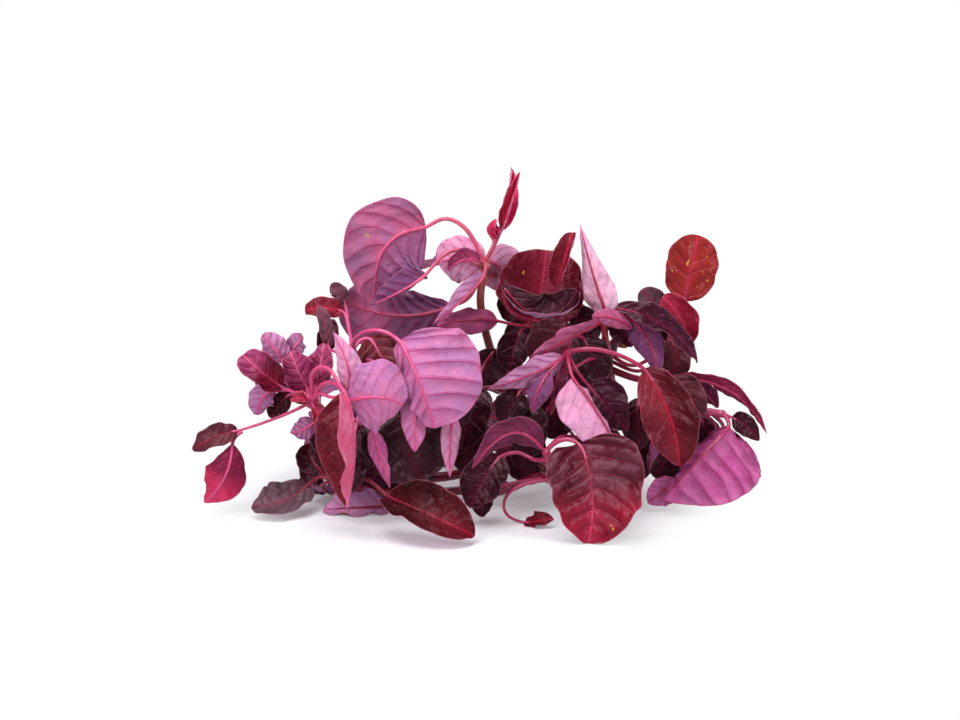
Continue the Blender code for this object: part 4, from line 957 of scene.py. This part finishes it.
# %% Fine blade constants
SKIN_SPACING = 0.8
SKIN_THICKNESS = 0.42
RIM_THICKNESS = 0.16
RIM_WIDTH = 1.5
FULL_LENGTH = 50
QUILT = 0.4
BUCKLE = 0.85
CRINKLE = 0.3
RIPPLE = 0.55
UNEVEN = 0.03
SEED_PER_MM = 0.37


# %% The course of the side veins
VEIN_SPACING = 8.5
FEWEST_VEINS, MOST_VEINS = 5, 8
SWEEP = 0.17
SWEEP_BEND = 0.15
SWAY_OUT, SWAY_ALONG = 0.14, 0.08
LAST_VEIN = 0.84


def vein_course(number, share, across, length, half):
    """The course at each point, and how many millimetres one step of it is. The course is
    (share - sweep * a - bend * a squared) times the number of veins, with a from 0 at the
    midrib to 1 at the edge. The left half's veins start a little later than the right half's.
    Two slow sines make every vein bend its own way, and near the tip the step grows, so that
    no vein is drawn there."""
    count = np.clip(round(length / VEIN_SPACING), FEWEST_VEINS, MOST_VEINS)
    out = np.abs(across)
    forward = 1 - np.clip(share, 0, 1) ** 4
    course = count * (share - (SWEEP * out + SWEEP_BEND * out ** 2) * forward)
    course = course + (0.2 + 0.1 * (number % 4)) * (across < 0)
    course = course + SWAY_OUT * out * np.sin(9 * share + 3 * across + number)
    course = course + SWAY_ALONG * np.sin(17 * share + 2 * number)
    along_slope = count / length
    across_slope = count * (SWEEP + 2 * SWEEP_BEND * out) * forward / np.maximum(half, 0.5)
    fade = 1 + 8 * np.clip((share - LAST_VEIN) / 0.1, 0, 1)
    return course, fade / np.hypot(along_slope, across_slope)


# %% The colours of one side of a blade
CHANGE_FROM, CHANGE_SPAN = 0.4, 0.35


def skin_colours(words, key, share, across):
    """One colour for each point. "a+b" is the left and the right half, and "a>b" changes from
    the base to the tip by the smooth step of the share."""
    if "+" in words:
        weight = (across >= 0).astype(float)
    else:
        step = np.clip((share - CHANGE_FROM) / CHANGE_SPAN, 0, 1)
        weight = step ** 2 * (3 - 2 * step)
    ends = [linear(getattr(TISSUES[word], key)) for word in words.replace(">", "+").split("+")]
    return ends[0] + weight[:, None] * (ends[-1] - ends[0])


# %% The relief of a blade
# How long its waves are along and across the blade, in millimetres for each radian.
SWING_ALONG, SWING_ACROSS = 6.1, 8.3
BUCKLE_ALONG, BUCKLE_ACROSS = 4.3, 3.7
CRINKLE_ALONG, CRINKLE_ACROSS, CRINKLE_SLANT = 1.3, 1.1, 3
RIPPLE_ALONG, RIPPLE_DRIFT = 1.9, 5


def blade_relief(leaf, seed, quilted, share, across, length, course):
    """How far each point is pushed out of the smooth surface, in millimetres. The quilt is a
    parabola from one vein to the next. The buckle is a product of two slow sines and the crinkle
    one of two quick ones, all swung aside by one more. The ripple is a sine along the edge that
    grows with the third power of the way out."""
    out, half = np.abs(across), half_width(leaf, share, across)
    to_vein = np.abs(course - np.round(course)) * 2
    inner = np.clip(half * (1 - out) / 4, 0, 1) * np.clip(half * out / 2, 0, 1)
    size = min(1.0, length / FULL_LENGTH)
    quilt = quilted * size * inner * np.clip((1 - share) / 0.15, 0, 1) * (1 - (1 - to_vein) ** 2 - 0.5)
    x, y = share * length, across * half
    swing = np.sin(x / SWING_ALONG + y / SWING_ACROSS + seed)
    slow = np.sin(x / BUCKLE_ALONG + seed + swing), np.sin(y / BUCKLE_ACROSS + 2 * seed - swing)
    quick = (np.sin(x / CRINKLE_ALONG + 3 * swing + seed),
             np.sin(y / CRINKLE_ACROSS - 2 * swing + x / CRINKLE_SLANT))
    buckle = BUCKLE * size * slow[0] * slow[1] + CRINKLE * quick[0] * quick[1]
    edge_wave = np.sin(x / RIPPLE_ALONG + seed + np.sin(x / RIPPLE_DRIFT + seed))
    ripple = RIPPLE * leaf.wave * out ** 3 * edge_wave * np.clip(half / 4, 0, 1)
    return quilt + buckle * np.clip(out * 2, 0, 1) + ripple


# %% The faces of a closed shell
def shell_faces(index):
    """Faces between two skins, each a grid of points numbered by index. The first and the last
    row of a grid are drawn together into one point, where the faces are triangles, which have
    their last corner twice. The under skin's faces are turned over, and two rims join the skins."""
    columns = index.shape[1] - 1
    count = index.size
    index[0], index[-1] = index[0, 0], index[-1, 0]
    corners = np.stack([index[:-1, :-1], index[:-1, 1:], index[1:, 1:], index[1:, :-1]], axis=-1)
    corners = corners.reshape(-1, 4)
    corners[:columns] = np.stack([index[1, 1:], index[1, :-1], index[0, 1:], index[0, 1:]], axis=-1)
    corners[-columns:] = np.stack([index[-2, :-1], index[-2, 1:], index[-1, 1:], index[-1, 1:]], axis=-1)
    rims = [np.stack([side[:-1], side[1:], side[1:] + count, side[:-1] + count], axis=-1)
            for side in (index[:, 0], index[:, -1])]
    turned = corners[:, [1, 0, 3, 2]] + count
    triangles = corners[:, 2] == corners[:, 3]
    turned[triangles] = (corners[triangles] + count)[:, [1, 0, 2, 2]]
    return np.concatenate([corners, turned, rims[0], rims[1][:, ::-1]])


# %% What the finish needs to know of each point
NO_FLECK = 99.0
FLECK_SQUEEZE = 1.6
DRIFT = 11.0
LEAST_VIGOUR = 0.1


def on_both(*values):
    """Three numbers for each point of both skins, from three arrays."""
    return np.tile(np.stack(values, axis=-1).reshape(-1, 3), (2, 1))


def blade_marks(number, words, flecks, quilted, share, across, length, half, course, step_mm):
    """The attributes of a blade: its colours, where it is between the veins, how far it is from
    the edge and from the next fleck, and how strongly its veins show. The last value of rim
    tells the upper skin, 0, from the under skin, 1."""
    marks = {}
    for key in Tissue._fields:
        sides = [skin_colours(side, key, share.ravel(), across.ravel()) for side in words.split()]
        marks[key + "_colour"] = np.concatenate(sides)
    x, y = share * length, across * half
    fleck = np.full(share.shape, NO_FLECK)
    for along_share, aside, radius in flecks:
        fleck = np.minimum(fleck, np.hypot(x - along_share * length, (y - aside) * FLECK_SQUEEZE) - radius)
    drift = (number % 7) * DRIFT
    # How strongly the veins and the painted shade beside them show, from the quilt.
    strength = np.full(share.shape, min(1.0, LEAST_VIGOUR + (1 - LEAST_VIGOUR) * quilted))
    out = np.abs(across)
    marks["veins"] = on_both(course, y, step_mm)
    marks["spot"] = on_both(x + drift, y + 2 * drift, fleck)
    marks["vigour"] = on_both(strength, strength, strength)
    marks["rim"] = on_both(half * (1 - out), out, np.zeros(share.shape))
    marks["rim"][share.size:, 2] = 1
    return marks


# %% A blade's two skins
def blade_length(leaf):
    """The length of the midrib, taken as two straight halves."""
    base, middle, tip = (seen(*point) for point in (leaf.base, leaf.middle, leaf.tip))
    return np.linalg.norm(middle - base) + np.linalg.norm(tip - middle)


def fine_blade(leaf, number, shift, words, flecks, quilted, broader, lobe):
    """A closed shell over the blade's surface. The edge is a little uneven, and where the blade
    has a lobe it slides back along the midrib by a share of its distance from it. The relief is
    added along the normal, and the two skins stand off from it by half the thickness, which
    thins out at the rim."""
    length = blade_length(leaf)
    rows = int(np.clip(round(length / SKIN_SPACING), 16, 100))
    columns = 2 * int(np.clip(round(np.max(leaf.width) / SKIN_SPACING / 2), 5, 40))
    steps = np.linspace(0, 1, rows + 1)
    shares = (steps + row_shares(steps)) / 2
    share, across = np.meshgrid(shares, np.linspace(-1, 1, columns + 1), indexing="ij")
    half = half_width(leaf, share, across)
    seed = number * GOLDEN_ANGLE + SEED_PER_MM * leaf.base[0]
    uneven = np.sin(11 * share + seed) + 0.7 * np.sin(23 * share + 2 * seed + np.sign(across))
    stretch = by_half(broader, across) + UNEVEN * uneven
    points = blade_surface(leaf, number, shift, share, across * stretch)
    slide = lobe * np.abs(across) * half
    points = points - slide[..., None] * midrib(leaf, shift, share)[1]
    normal = np.cross(np.gradient(points, axis=1), np.gradient(points, axis=0))
    normal[0], normal[-1] = normal[1], normal[-2]
    normal = unit(normal)
    course, step_mm = vein_course(number, share, across, length, half)
    relief = blade_relief(leaf, seed, quilted, share, across, length, course)
    points = points + relief[..., None] * normal
    points[..., 2] = np.maximum(points[..., 2], SKIN_THICKNESS)
    to_edge = half * (1 - np.abs(across))
    skin = RIM_THICKNESS + (SKIN_THICKNESS - RIM_THICKNESS) * np.clip(to_edge / RIM_WIDTH, 0, 1)
    away = skin[..., None] / 2 * normal
    marks = blade_marks(number, words, flecks, quilted, share, across, length, half, course, step_mm)
    return (np.concatenate([(points + away).reshape(-1, 3), (points - away).reshape(-1, 3)]),
            shell_faces(np.arange(share.size).reshape(share.shape)), marks)


# %% [markdown]
# ## Stems and stalks as tubes
#
# A tube is a ring carried along a path. The rings need two directions square to the path.
# Both come from the one direction that the whole path is least parallel to, so that the
# rings never flip over. A stalk runs on under the blade as the raised midrib, and ends
# close to the tip.

# %% Tube constants
STEM_FACETS = 20
STALK_FACETS = 12
STALK_SPACING = 1.1
FEWEST_RINGS = 6
CHANNEL, CHANNEL_WIDTH = 0.25, 0.25
RIB_REACH = 0.93
RIB_TIP_RADIUS = 0.16
RIB_TAPER = 0.8
RIB_SINK = 0.35
SUNK_FROM = 0.15
ROUNDINGS = 8
NODE_SWELL, NODE_LENGTH = 0.12, 2.5


# %% A closed tube
def tube(route, radii, facets, colours, channel=0):
    """A ring of the given radius round every point of the route, closed by a point at both
    ends. channel deepens one side of the ring, as on the upper side of a stalk."""
    along = unit(np.gradient(route, axis=0))
    steady = np.linalg.svd(along, full_matrices=True)[2][-1]
    first = unit(np.cross(along, steady))
    second = np.cross(along, first)
    turn = np.linspace(0, 2 * np.pi, facets, endpoint=False)
    ring = 1 - channel * np.exp(-((np.cos(turn) - 1) / CHANNEL_WIDTH) ** 2)
    points = route[:, None] + (radii[:, None] * ring)[..., None] * (
        np.cos(turn)[:, None] * second[:, None] + np.sin(turn)[:, None] * first[:, None])
    rows = len(route)
    index = np.arange(rows * facets).reshape(rows, facets)
    after = np.roll(index, -1, axis=1)
    walls = np.stack([index[:-1], after[:-1], after[1:], index[1:]], axis=-1).reshape(-1, 4)
    start, end = rows * facets, rows * facets + 1
    caps = [np.stack([after[0], index[0], np.full(facets, start), np.full(facets, start)], axis=-1),
            np.stack([index[-1], after[-1], np.full(facets, end), np.full(facets, end)], axis=-1)]
    bulge = np.stack([route[0] - along[0] * radii[0] * 0.1, route[-1] + along[-1] * radii[-1] * 0.7])
    length = np.concatenate([[0], np.cumsum(np.linalg.norm(np.diff(route, axis=0), axis=1))])
    colour = np.concatenate([np.repeat(colours, facets, axis=0), colours[[0, -1]]])
    spot = np.column_stack([np.repeat(length, facets), np.tile(turn, rows), np.zeros(rows * facets)])
    spot = np.concatenate([spot, [[0, 0, 0], [length[-1], 0, 0]]])
    return (np.concatenate([points.reshape(-1, 3), bulge]), np.concatenate([walls, *caps]),
            {"flesh_colour": colour, "spot": spot})


# %% The stalk of one leaf, with its midrib
def fine_stalk(shoot, leaf, shift, sway, colours):
    """The stalk's curve at a fine spacing. From the base on it follows the blade's underside,
    sunk in by part of its radius. Each rounding moves every point half way to the middle of its
    neighbours, which takes the elbows out."""
    coarse = stalk_route(shoot, leaf, shift, sway)
    span = np.linalg.norm(coarse[-2] - coarse[0])
    free = smooth_route(coarse[:-1], max(FEWEST_RINGS, int(span / STALK_SPACING)))
    shares = np.linspace(0, RIB_REACH, max(FEWEST_RINGS, int(blade_length(leaf) / STALK_SPACING)))
    rib, along = midrib(leaf, shift, shares)
    scale = stalk_scale(leaf)
    free_radii = scale * np.linspace(STALK_ROOT_RADIUS, STALK_BLADE_RADIUS, len(free))
    rib_radii = scale * STALK_BLADE_RADIUS * (1 - shares / RIB_REACH) ** RIB_TAPER + RIB_TIP_RADIUS
    sink = np.clip(shares / SUNK_FROM, 0, 1) * (SKIN_THICKNESS / 2 + rib_radii * RIB_SINK)
    rib = rib - sink[:, None] * upper_way(leaf, along)
    route = np.vstack([free, rib[1:]])
    radii = np.concatenate([free_radii, rib_radii[1:]])
    for _ in range(ROUNDINGS):
        route[1:-1] = (route[:-2] + 2 * route[1:-1] + route[2:]) / 4
    route[:, 2] = np.maximum(route[:, 2], radii)
    tint = np.linspace(0, 1, len(route))[:, None]
    return tube(route, radii, STALK_FACETS, (1 - tint) * colours[0] + tint * colours[1], CHANNEL)


# %% The stem
def fine_stem(shoot, colours):
    """The stem's curve at a fine spacing, swollen a little where a stalk leaves it."""
    length = np.linalg.norm(np.diff(np.array(shoot.stem), axis=0), axis=1).sum()
    route = smooth_route(shoot.stem, int(length / STALK_SPACING))
    share = np.linspace(0, 1, len(route))
    radii = shoot.radii[0] + (shoot.radii[1] - shoot.radii[0]) * share
    for leaf in shoot.leaves:
        if not isinstance(leaf.root, tuple):
            radii = radii + NODE_SWELL * np.exp(-((share - leaf.root) * length / NODE_LENGTH) ** 2)
    tint = share[:, None] ** 1.5
    return tube(route, radii, STEM_FACETS, (1 - tint) * colours[0] + tint * colours[1])


# %% [markdown]
# ## Finishes
#
# One helper adds a shader node with its values, links and settings. The rest of each finish
# reads like a recipe.

# %% Add one node
def add(tree, kind, *values, inputs=None, output=0, **settings):
    """One output of a new node. The values go to its first inputs in order, and the others
    are named in inputs. A value is a number, a colour or another node's output."""
    node = tree.nodes.new("ShaderNode" + kind)
    for key, value in settings.items():
        setattr(node, key, value)
    for key, value in {**dict(enumerate(values)), **(inputs or {})}.items():
        if isinstance(value, bpy.types.NodeSocket):
            tree.links.new(value, node.inputs[key])
        else:
            node.inputs[key].default_value = value
    return node.outputs[output] if node.outputs else node


def new_material(name):
    """An empty material, and the helper that adds a node to it."""
    material = bpy.data.materials.new(name)
    material.use_nodes = True
    material.node_tree.nodes.clear()
    return material, partial(add, material.node_tree)


# %% Settings that many nodes share
SMOOTH = {"interpolation_type": "SMOOTHSTEP"}
COLOURS = {"data_type": "RGBA", "output": 2}
TIMES = {"operation": "MULTIPLY"}
TIMES_PLUS = {"operation": "MULTIPLY_ADD"}
print("a colour blend comes out at output", COLOURS["output"])

# %% [markdown]
# ## The finish of a blade
#
# A leaf is a thin wet tissue under a skin of wax. The wax gives a broad, soft shine, stronger
# on the upper side. The tissue lets about a quarter of the light through, which is why leaves
# against the light glow crimson. The veins are drawn here and not in the mesh, because they
# are thinner than the mesh is fine: a vein lies wherever the course is close to a whole
# number. They stand out under the leaf and are sunk on top.

# %% What a blade's finish reads
VECTORS = {"veins": "course to_midrib step_mm", "rim": "to_edge out under", "spot": "along aside to_fleck"}
# Size in millimetres and detail: broad soft patches, a mottle inside them and a fine grain.
NOISES = {"broad": (13.0, 1.0), "mottle": (3.6, 3.0), "grain": (0.9, 2.0)}
NET_SCALE = 0.42


def read_marks(node):
    """The attributes of the mesh, three noises, and the lines of the veins and of their net,
    each as a node output with a short name. The net's meshes are about 2.5 mm wide. A side
    vein thins out towards the edge."""
    on = SimpleNamespace()
    for key in Tissue._fields:
        setattr(on, key, node("Attribute", output="Color", attribute_name=key + "_colour"))
    for key, names in VECTORS.items():
        setattr(on, key, node("Attribute", output="Vector", attribute_name=key))
        for name, part in zip(names.split(), node("SeparateXYZ", getattr(on, key)).node.outputs):
            setattr(on, name, part)
    on.vigour = node("Attribute", output="Fac", attribute_name="vigour")
    body = node("TexCoord", output="Object")
    for name, (size_mm, detail) in NOISES.items():
        setattr(on, name, node("TexNoise", inputs={
            "Vector": body, "Scale": 1 / (size_mm * MM), "Detail": detail}))
    net = node("TexVoronoi", inputs={"Vector": on.spot, "Scale": NET_SCALE}, output="Distance",
               feature="DISTANCE_TO_EDGE", voronoi_dimensions="2D")
    on.net_line = node("MapRange", net, 0, 0.1, 1, 0, **SMOOTH)
    on.off_midrib = node("Math", on.to_midrib, operation="ABSOLUTE")
    vein_mm = node("Math", node("Math", on.course, 0.5, operation="PINGPONG"), on.step_mm, **TIMES)
    vein_half = node("Math", on.out, -0.16, 0.2, **TIMES_PLUS)
    on.off_vein = node("Math", vein_mm, vein_half, operation="SUBTRACT")
    return on


# %% The colour of a blade
# Painted shade: the colour that darkens the tissue along each vein and past it, for the relief between the
# veins.
DIP_SHADE = (0.55, 0.22, 0.42, 1)
PALE_RIM = (1.0, 0.50, 0.68, 1)
DRIED = (0.62, 0.44, 0.06, 1)


def blade_colour(node, on):
    """Layers, each a share of one colour over what is there. Patches lie on the flesh, more sap
    shows beside the midrib, then come the net and the veins. A darker line follows one side of
    each vein, and past it the tissue rises from a dip to its crest. The rim is a thin pale line.
    A fleck is a bite or a scar that has dried up. A grain makes it all a little lighter and
    darker."""
    unrest = node("Math", on.mottle, 0.5, operation="SUBTRACT")
    patches = node("MapRange", node("Math", unrest, 0.3, on.broad, **TIMES_PLUS), 0.38, 0.64, **SMOOTH)
    beside = node("Math", node("Math", on.off_midrib, -0.22, **TIMES), operation="EXPONENT")
    vein_line = node("MapRange", on.off_vein, -0.05, 0.22, 1, 0, **SMOOTH)
    rib_line = node("MapRange", on.off_midrib, 0.3, 0.7, 1, 0, **SMOOTH)
    lines = node("Math", node("Math", vein_line, on.vigour, **TIMES), rib_line, operation="MAXIMUM")
    strength = node("Math", on.under, -0.15, 0.8, **TIMES_PLUS)
    colour = on.flesh
    for share, over in ((patches, on.patch),
                        (node("Math", beside, 0.3, **TIMES), on.vein),
                        (node("Math", on.net_line, 0.07, **TIMES), on.vein),
                        (node("Math", lines, strength, **TIMES), on.vein)):
        colour = node("Mix", share, inputs={6: colour, 7: over}, **COLOURS)
    # Painted shade: a darker copy of the colour, laid along each vein and past it to stand in for the shade
    # of the quilted relief.
    painted_shade_colour = node("Mix", 1, inputs={6: colour, 7: DIP_SHADE}, blend_type="MULTIPLY", **COLOURS)
    painted_vein_shade = node("Math", node("MapRange", on.off_vein, 0.05, 0.2, **SMOOTH),
                  node("MapRange", on.off_vein, 0.25, 0.9, 1, 0, **SMOOTH), **TIMES)
    past = node("Math", on.course, operation="FRACT")
    painted_bulge_shade = node("Math", node("MapRange", past, 0, 0.55, 1, 0, **SMOOTH),
               node("MapRange", on.out, 0.05, 0.3, **SMOOTH), **TIMES)
    rim = node("MapRange", on.to_edge, 0.12, 0.55, 1, 0, **SMOOTH)
    pale = node("Mix", 0.18, inputs={6: on.vein, 7: PALE_RIM}, **COLOURS)
    ragged = node("Math", unrest, 2.2, on.to_fleck, **TIMES_PLUS)
    for share, over in ((node("Math", painted_vein_shade, node("Math", on.vigour, 0.6, **TIMES), **TIMES), painted_shade_colour),
                        (node("Math", painted_bulge_shade, node("Math", on.vigour, 0.42, **TIMES), **TIMES), painted_shade_colour),
                        (node("Math", rim, 0.6, **TIMES), pale),
                        (node("MapRange", ragged, 0.35, 0, **SMOOTH), DRIED)):
        colour = node("Mix", share, inputs={6: colour, 7: over}, **COLOURS)
    value = node("MapRange", on.grain, 0.25, 0.75, 0.93, 1.07, **SMOOTH)
    return node("HueSaturation", inputs={"Value": value, "Color": colour})


# %% The fine relief of a blade
def blade_height(node, on):
    """The height in millimetres. Veins and net rise on the underside and sink on the upper
    side, and under them lie a grain, wrinkles and broad swellings."""
    side = node("Math", on.under, 2, -1, **TIMES_PLUS)
    swell = node("Math", node("MapRange", on.off_vein, -0.25, 0.5, 1, 0, **SMOOTH), 0.22, **TIMES)
    swell = node("Math", on.net_line, 0.05, swell, **TIMES_PLUS)
    height = node("Math", swell, side, node("Math", on.grain, 0.07, **TIMES), **TIMES_PLUS)
    wrinkles = node("Math", on.under, 0.45, 0.3, **TIMES_PLUS)
    height = node("Math", on.mottle, wrinkles, height, **TIMES_PLUS)
    return node("Math", on.broad, 0.9, height, **TIMES_PLUS)


# %% Blade finish
def blade_finish():
    """Living leaf: a red tissue that some light passes through, under wax with a pink shine
    that is wider and duller on the underside."""
    material, node = new_material("living amaranth leaf")
    on = read_marks(node)
    colour = blade_colour(node, on)
    bump = node("Bump", inputs={"Height": blade_height(node, on), "Strength": 1, "Distance": MM})
    wax = node("MapRange", on.broad, 0.3, 0.7, -0.05, 0.07, **SMOOTH)
    roughness = node("Math", node("Math", on.under, 0.14, 0.27, **TIMES_PLUS), wax, operation="ADD")
    skin = node("BsdfPrincipled", colour, inputs={
        "Roughness": roughness, "IOR": 1.36, "Specular Tint": (1.0, 0.62, 0.76, 1), "Normal": bump})
    glow = node("Mix", 0.3, inputs={6: colour, 7: on.vein}, **COLOURS)
    through = node("BsdfTranslucent", glow, inputs={"Normal": bump})
    node("OutputMaterial", node("MixShader", 0.26, skin, through))
    return material


# %% [markdown]
# ## The finish of stems and stalks
#
# A stem is smooth and full of water, with fine ribs along it. It shines more sharply than
# a leaf.

# %% Stem finish
def stem_finish():
    """Juicy stem: ribs of about 0.6 mm along the length, lighter and darker by turns, under a
    smooth skin that gives thin bright highlights."""
    material, node = new_material("juicy amaranth stem")
    flesh = node("Attribute", output="Color", attribute_name="flesh_colour")
    spot = node("Attribute", output="Vector", attribute_name="spot")
    stretch = node("Mapping", inputs={"Vector": spot, "Scale": (0.12, 1.6, 1.0)})
    ribs = node("TexNoise", inputs={"Vector": stretch, "Scale": 2.2, "Detail": 3.0})
    # Lighter and darker stripes: partly the stem's own streaks, partly painted highlight.
    streak_and_highlight_tone = node("MapRange", ribs, 0.3, 0.7, 0.62, 1.32)
    colour = node("HueSaturation", inputs={"Value": streak_and_highlight_tone, "Color": flesh})
    bump = node("Bump", inputs={"Height": ribs, "Strength": 0.6, "Distance": 0.3 * MM})
    skin = node("BsdfPrincipled", colour, inputs={"Roughness": 0.2, "IOR": 1.5, "Normal": bump})
    node("OutputMaterial", node("MixShader", 0.15, skin, node("BsdfTranslucent", colour)))
    return material


# %% [markdown]
# ## Growing the shoots
#
# A blade and a stalk have different finishes, so each shoot gives two pieces: all its blades,
# and its stem with all its stalks. Both stand for the shoot's plain solid.

# %% Grow every shoot
leaf_material = blade_finish()
stem_material = stem_finish()
for shoot in grown:
    cut, tip, stalk = (linear(colour) for colour in STEMS[shoot.name])
    blades, tubes = [], [fine_stem(shoot, (cut, tip))]
    for number, (leaf, words) in enumerate(zip(shoot.leaves, SKINS[shoot.name])):
        key = shoot.name, number
        shift, sway = settled[key]
        leaf = leaf._replace(taper=BLUNT.get(key, leaf.taper))
        blades.append(fine_blade(leaf, number, shift, words, FLECKS.get(key, []), QUILTED.get(key, QUILT),
                                 BROADER.get(key, 1), LOBED.get(key, 0)))
        tubes.append(fine_stalk(shoot, leaf, shift, np.array(sway), ((tip + stalk) / 2, stalk)))
    for name, patches, material, slot in (
        (shoot.name + "_leaves", blades, leaf_material, "leaf"),
        (shoot.name + "_stems", tubes, stem_material, "stem"),
    ):
        piece = add_piece(name, patches, material)
        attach(piece, "root")
        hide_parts(shoot.name)
        print(name, len(piece.data.polygons), "faces")

# %% [markdown]
# ## Floor and light
#
# The heap lies on a white board, a little glossy, under soft boxes, as greens are shown in a
# shop's picture. Away from the heap the board turns into plain white light, and the surround
# is as white, so that the board has no edge in any view.

# %% The board
FLOOR_SIZE = 6.0
BOARD_WHITE = (0.90, 0.885, 0.955, 1)
GLOW_SHIFT = (0.012, 0, 0)
NEAR, FAR = 0.08, 0.135
LEAST_GLOW = 0.15


def board_finish():
    """Coated board, which mirrors the leaves on it faintly. Its share of plain white light
    grows with the distance from the heap."""
    material, node = new_material("white glossy board")
    skin = node("BsdfPrincipled", BOARD_WHITE, inputs={"Roughness": 0.16, "IOR": 1.5})
    place = node("VectorMath", node("TexCoord", output="Object"), GLOW_SHIFT)
    away = node("VectorMath", place, output="Value", operation="LENGTH")
    share = node("MapRange", away, NEAR, FAR, LEAST_GLOW, **SMOOTH)
    node("OutputMaterial", node("MixShader", share, skin, node("Emission", (1, 1, 1, 1))))
    return material


bpy.ops.mesh.primitive_plane_add(size=FLOOR_SIZE, location=(0, 0, 0))
floor = bpy.context.object
floor.name = "floor"
floor.data.materials.append(board_finish())
print("floor", FLOOR_SIZE, "m, white from", FAR, "m on")


# %% Soft lights
def add_softbox(name, stand, look_at, size, watts):
    """A square area light that looks at a point."""
    light = bpy.data.lights.new(name, "AREA")
    light.shape = "SQUARE"
    light.size = size
    light.energy = watts
    box = bpy.data.objects.new(name, light)
    box.location = stand
    way = np.array(look_at) - stand
    flat = math.hypot(way[0], way[1])
    box.rotation_euler = (math.atan2(flat, -way[2]), 0, math.atan2(-way[0], way[1]))
    bpy.context.scene.collection.objects.link(box)
    print(name, watts, "W")


add_softbox("overhead softbox", (-0.25, -0.15, 1.2), (0, 0, 0.05), 0.9, 16.0)
add_softbox("left front softbox", (-0.8, -1.1, 0.8), (0, 0, 0.06), 0.7, 11.0)
add_softbox("right softbox", (1.1, -0.7, 0.6), (0, 0, 0.06), 0.6, 8.0)
add_softbox("rear softbox", (0.2, 1.1, 1.5), (0, 0, 0.06), 0.8, 8.0)

# %% The white surround, as white to the eye as the board and dimmer as a light
SURROUND = 0.17
world = bpy.data.worlds.new("white surround")
world.use_nodes = True
world.node_tree.nodes.clear()
node = partial(add, world.node_tree)
level = node("MapRange", node("LightPath", output="Is Camera Ray"), inputs={3: SURROUND, 4: 1})
node("OutputWorld", node("Background", (1, 1, 1, 1), level))
bpy.context.scene.world = world
bpy.context.scene.view_settings.view_transform = "Standard"
print("surround", SURROUND)
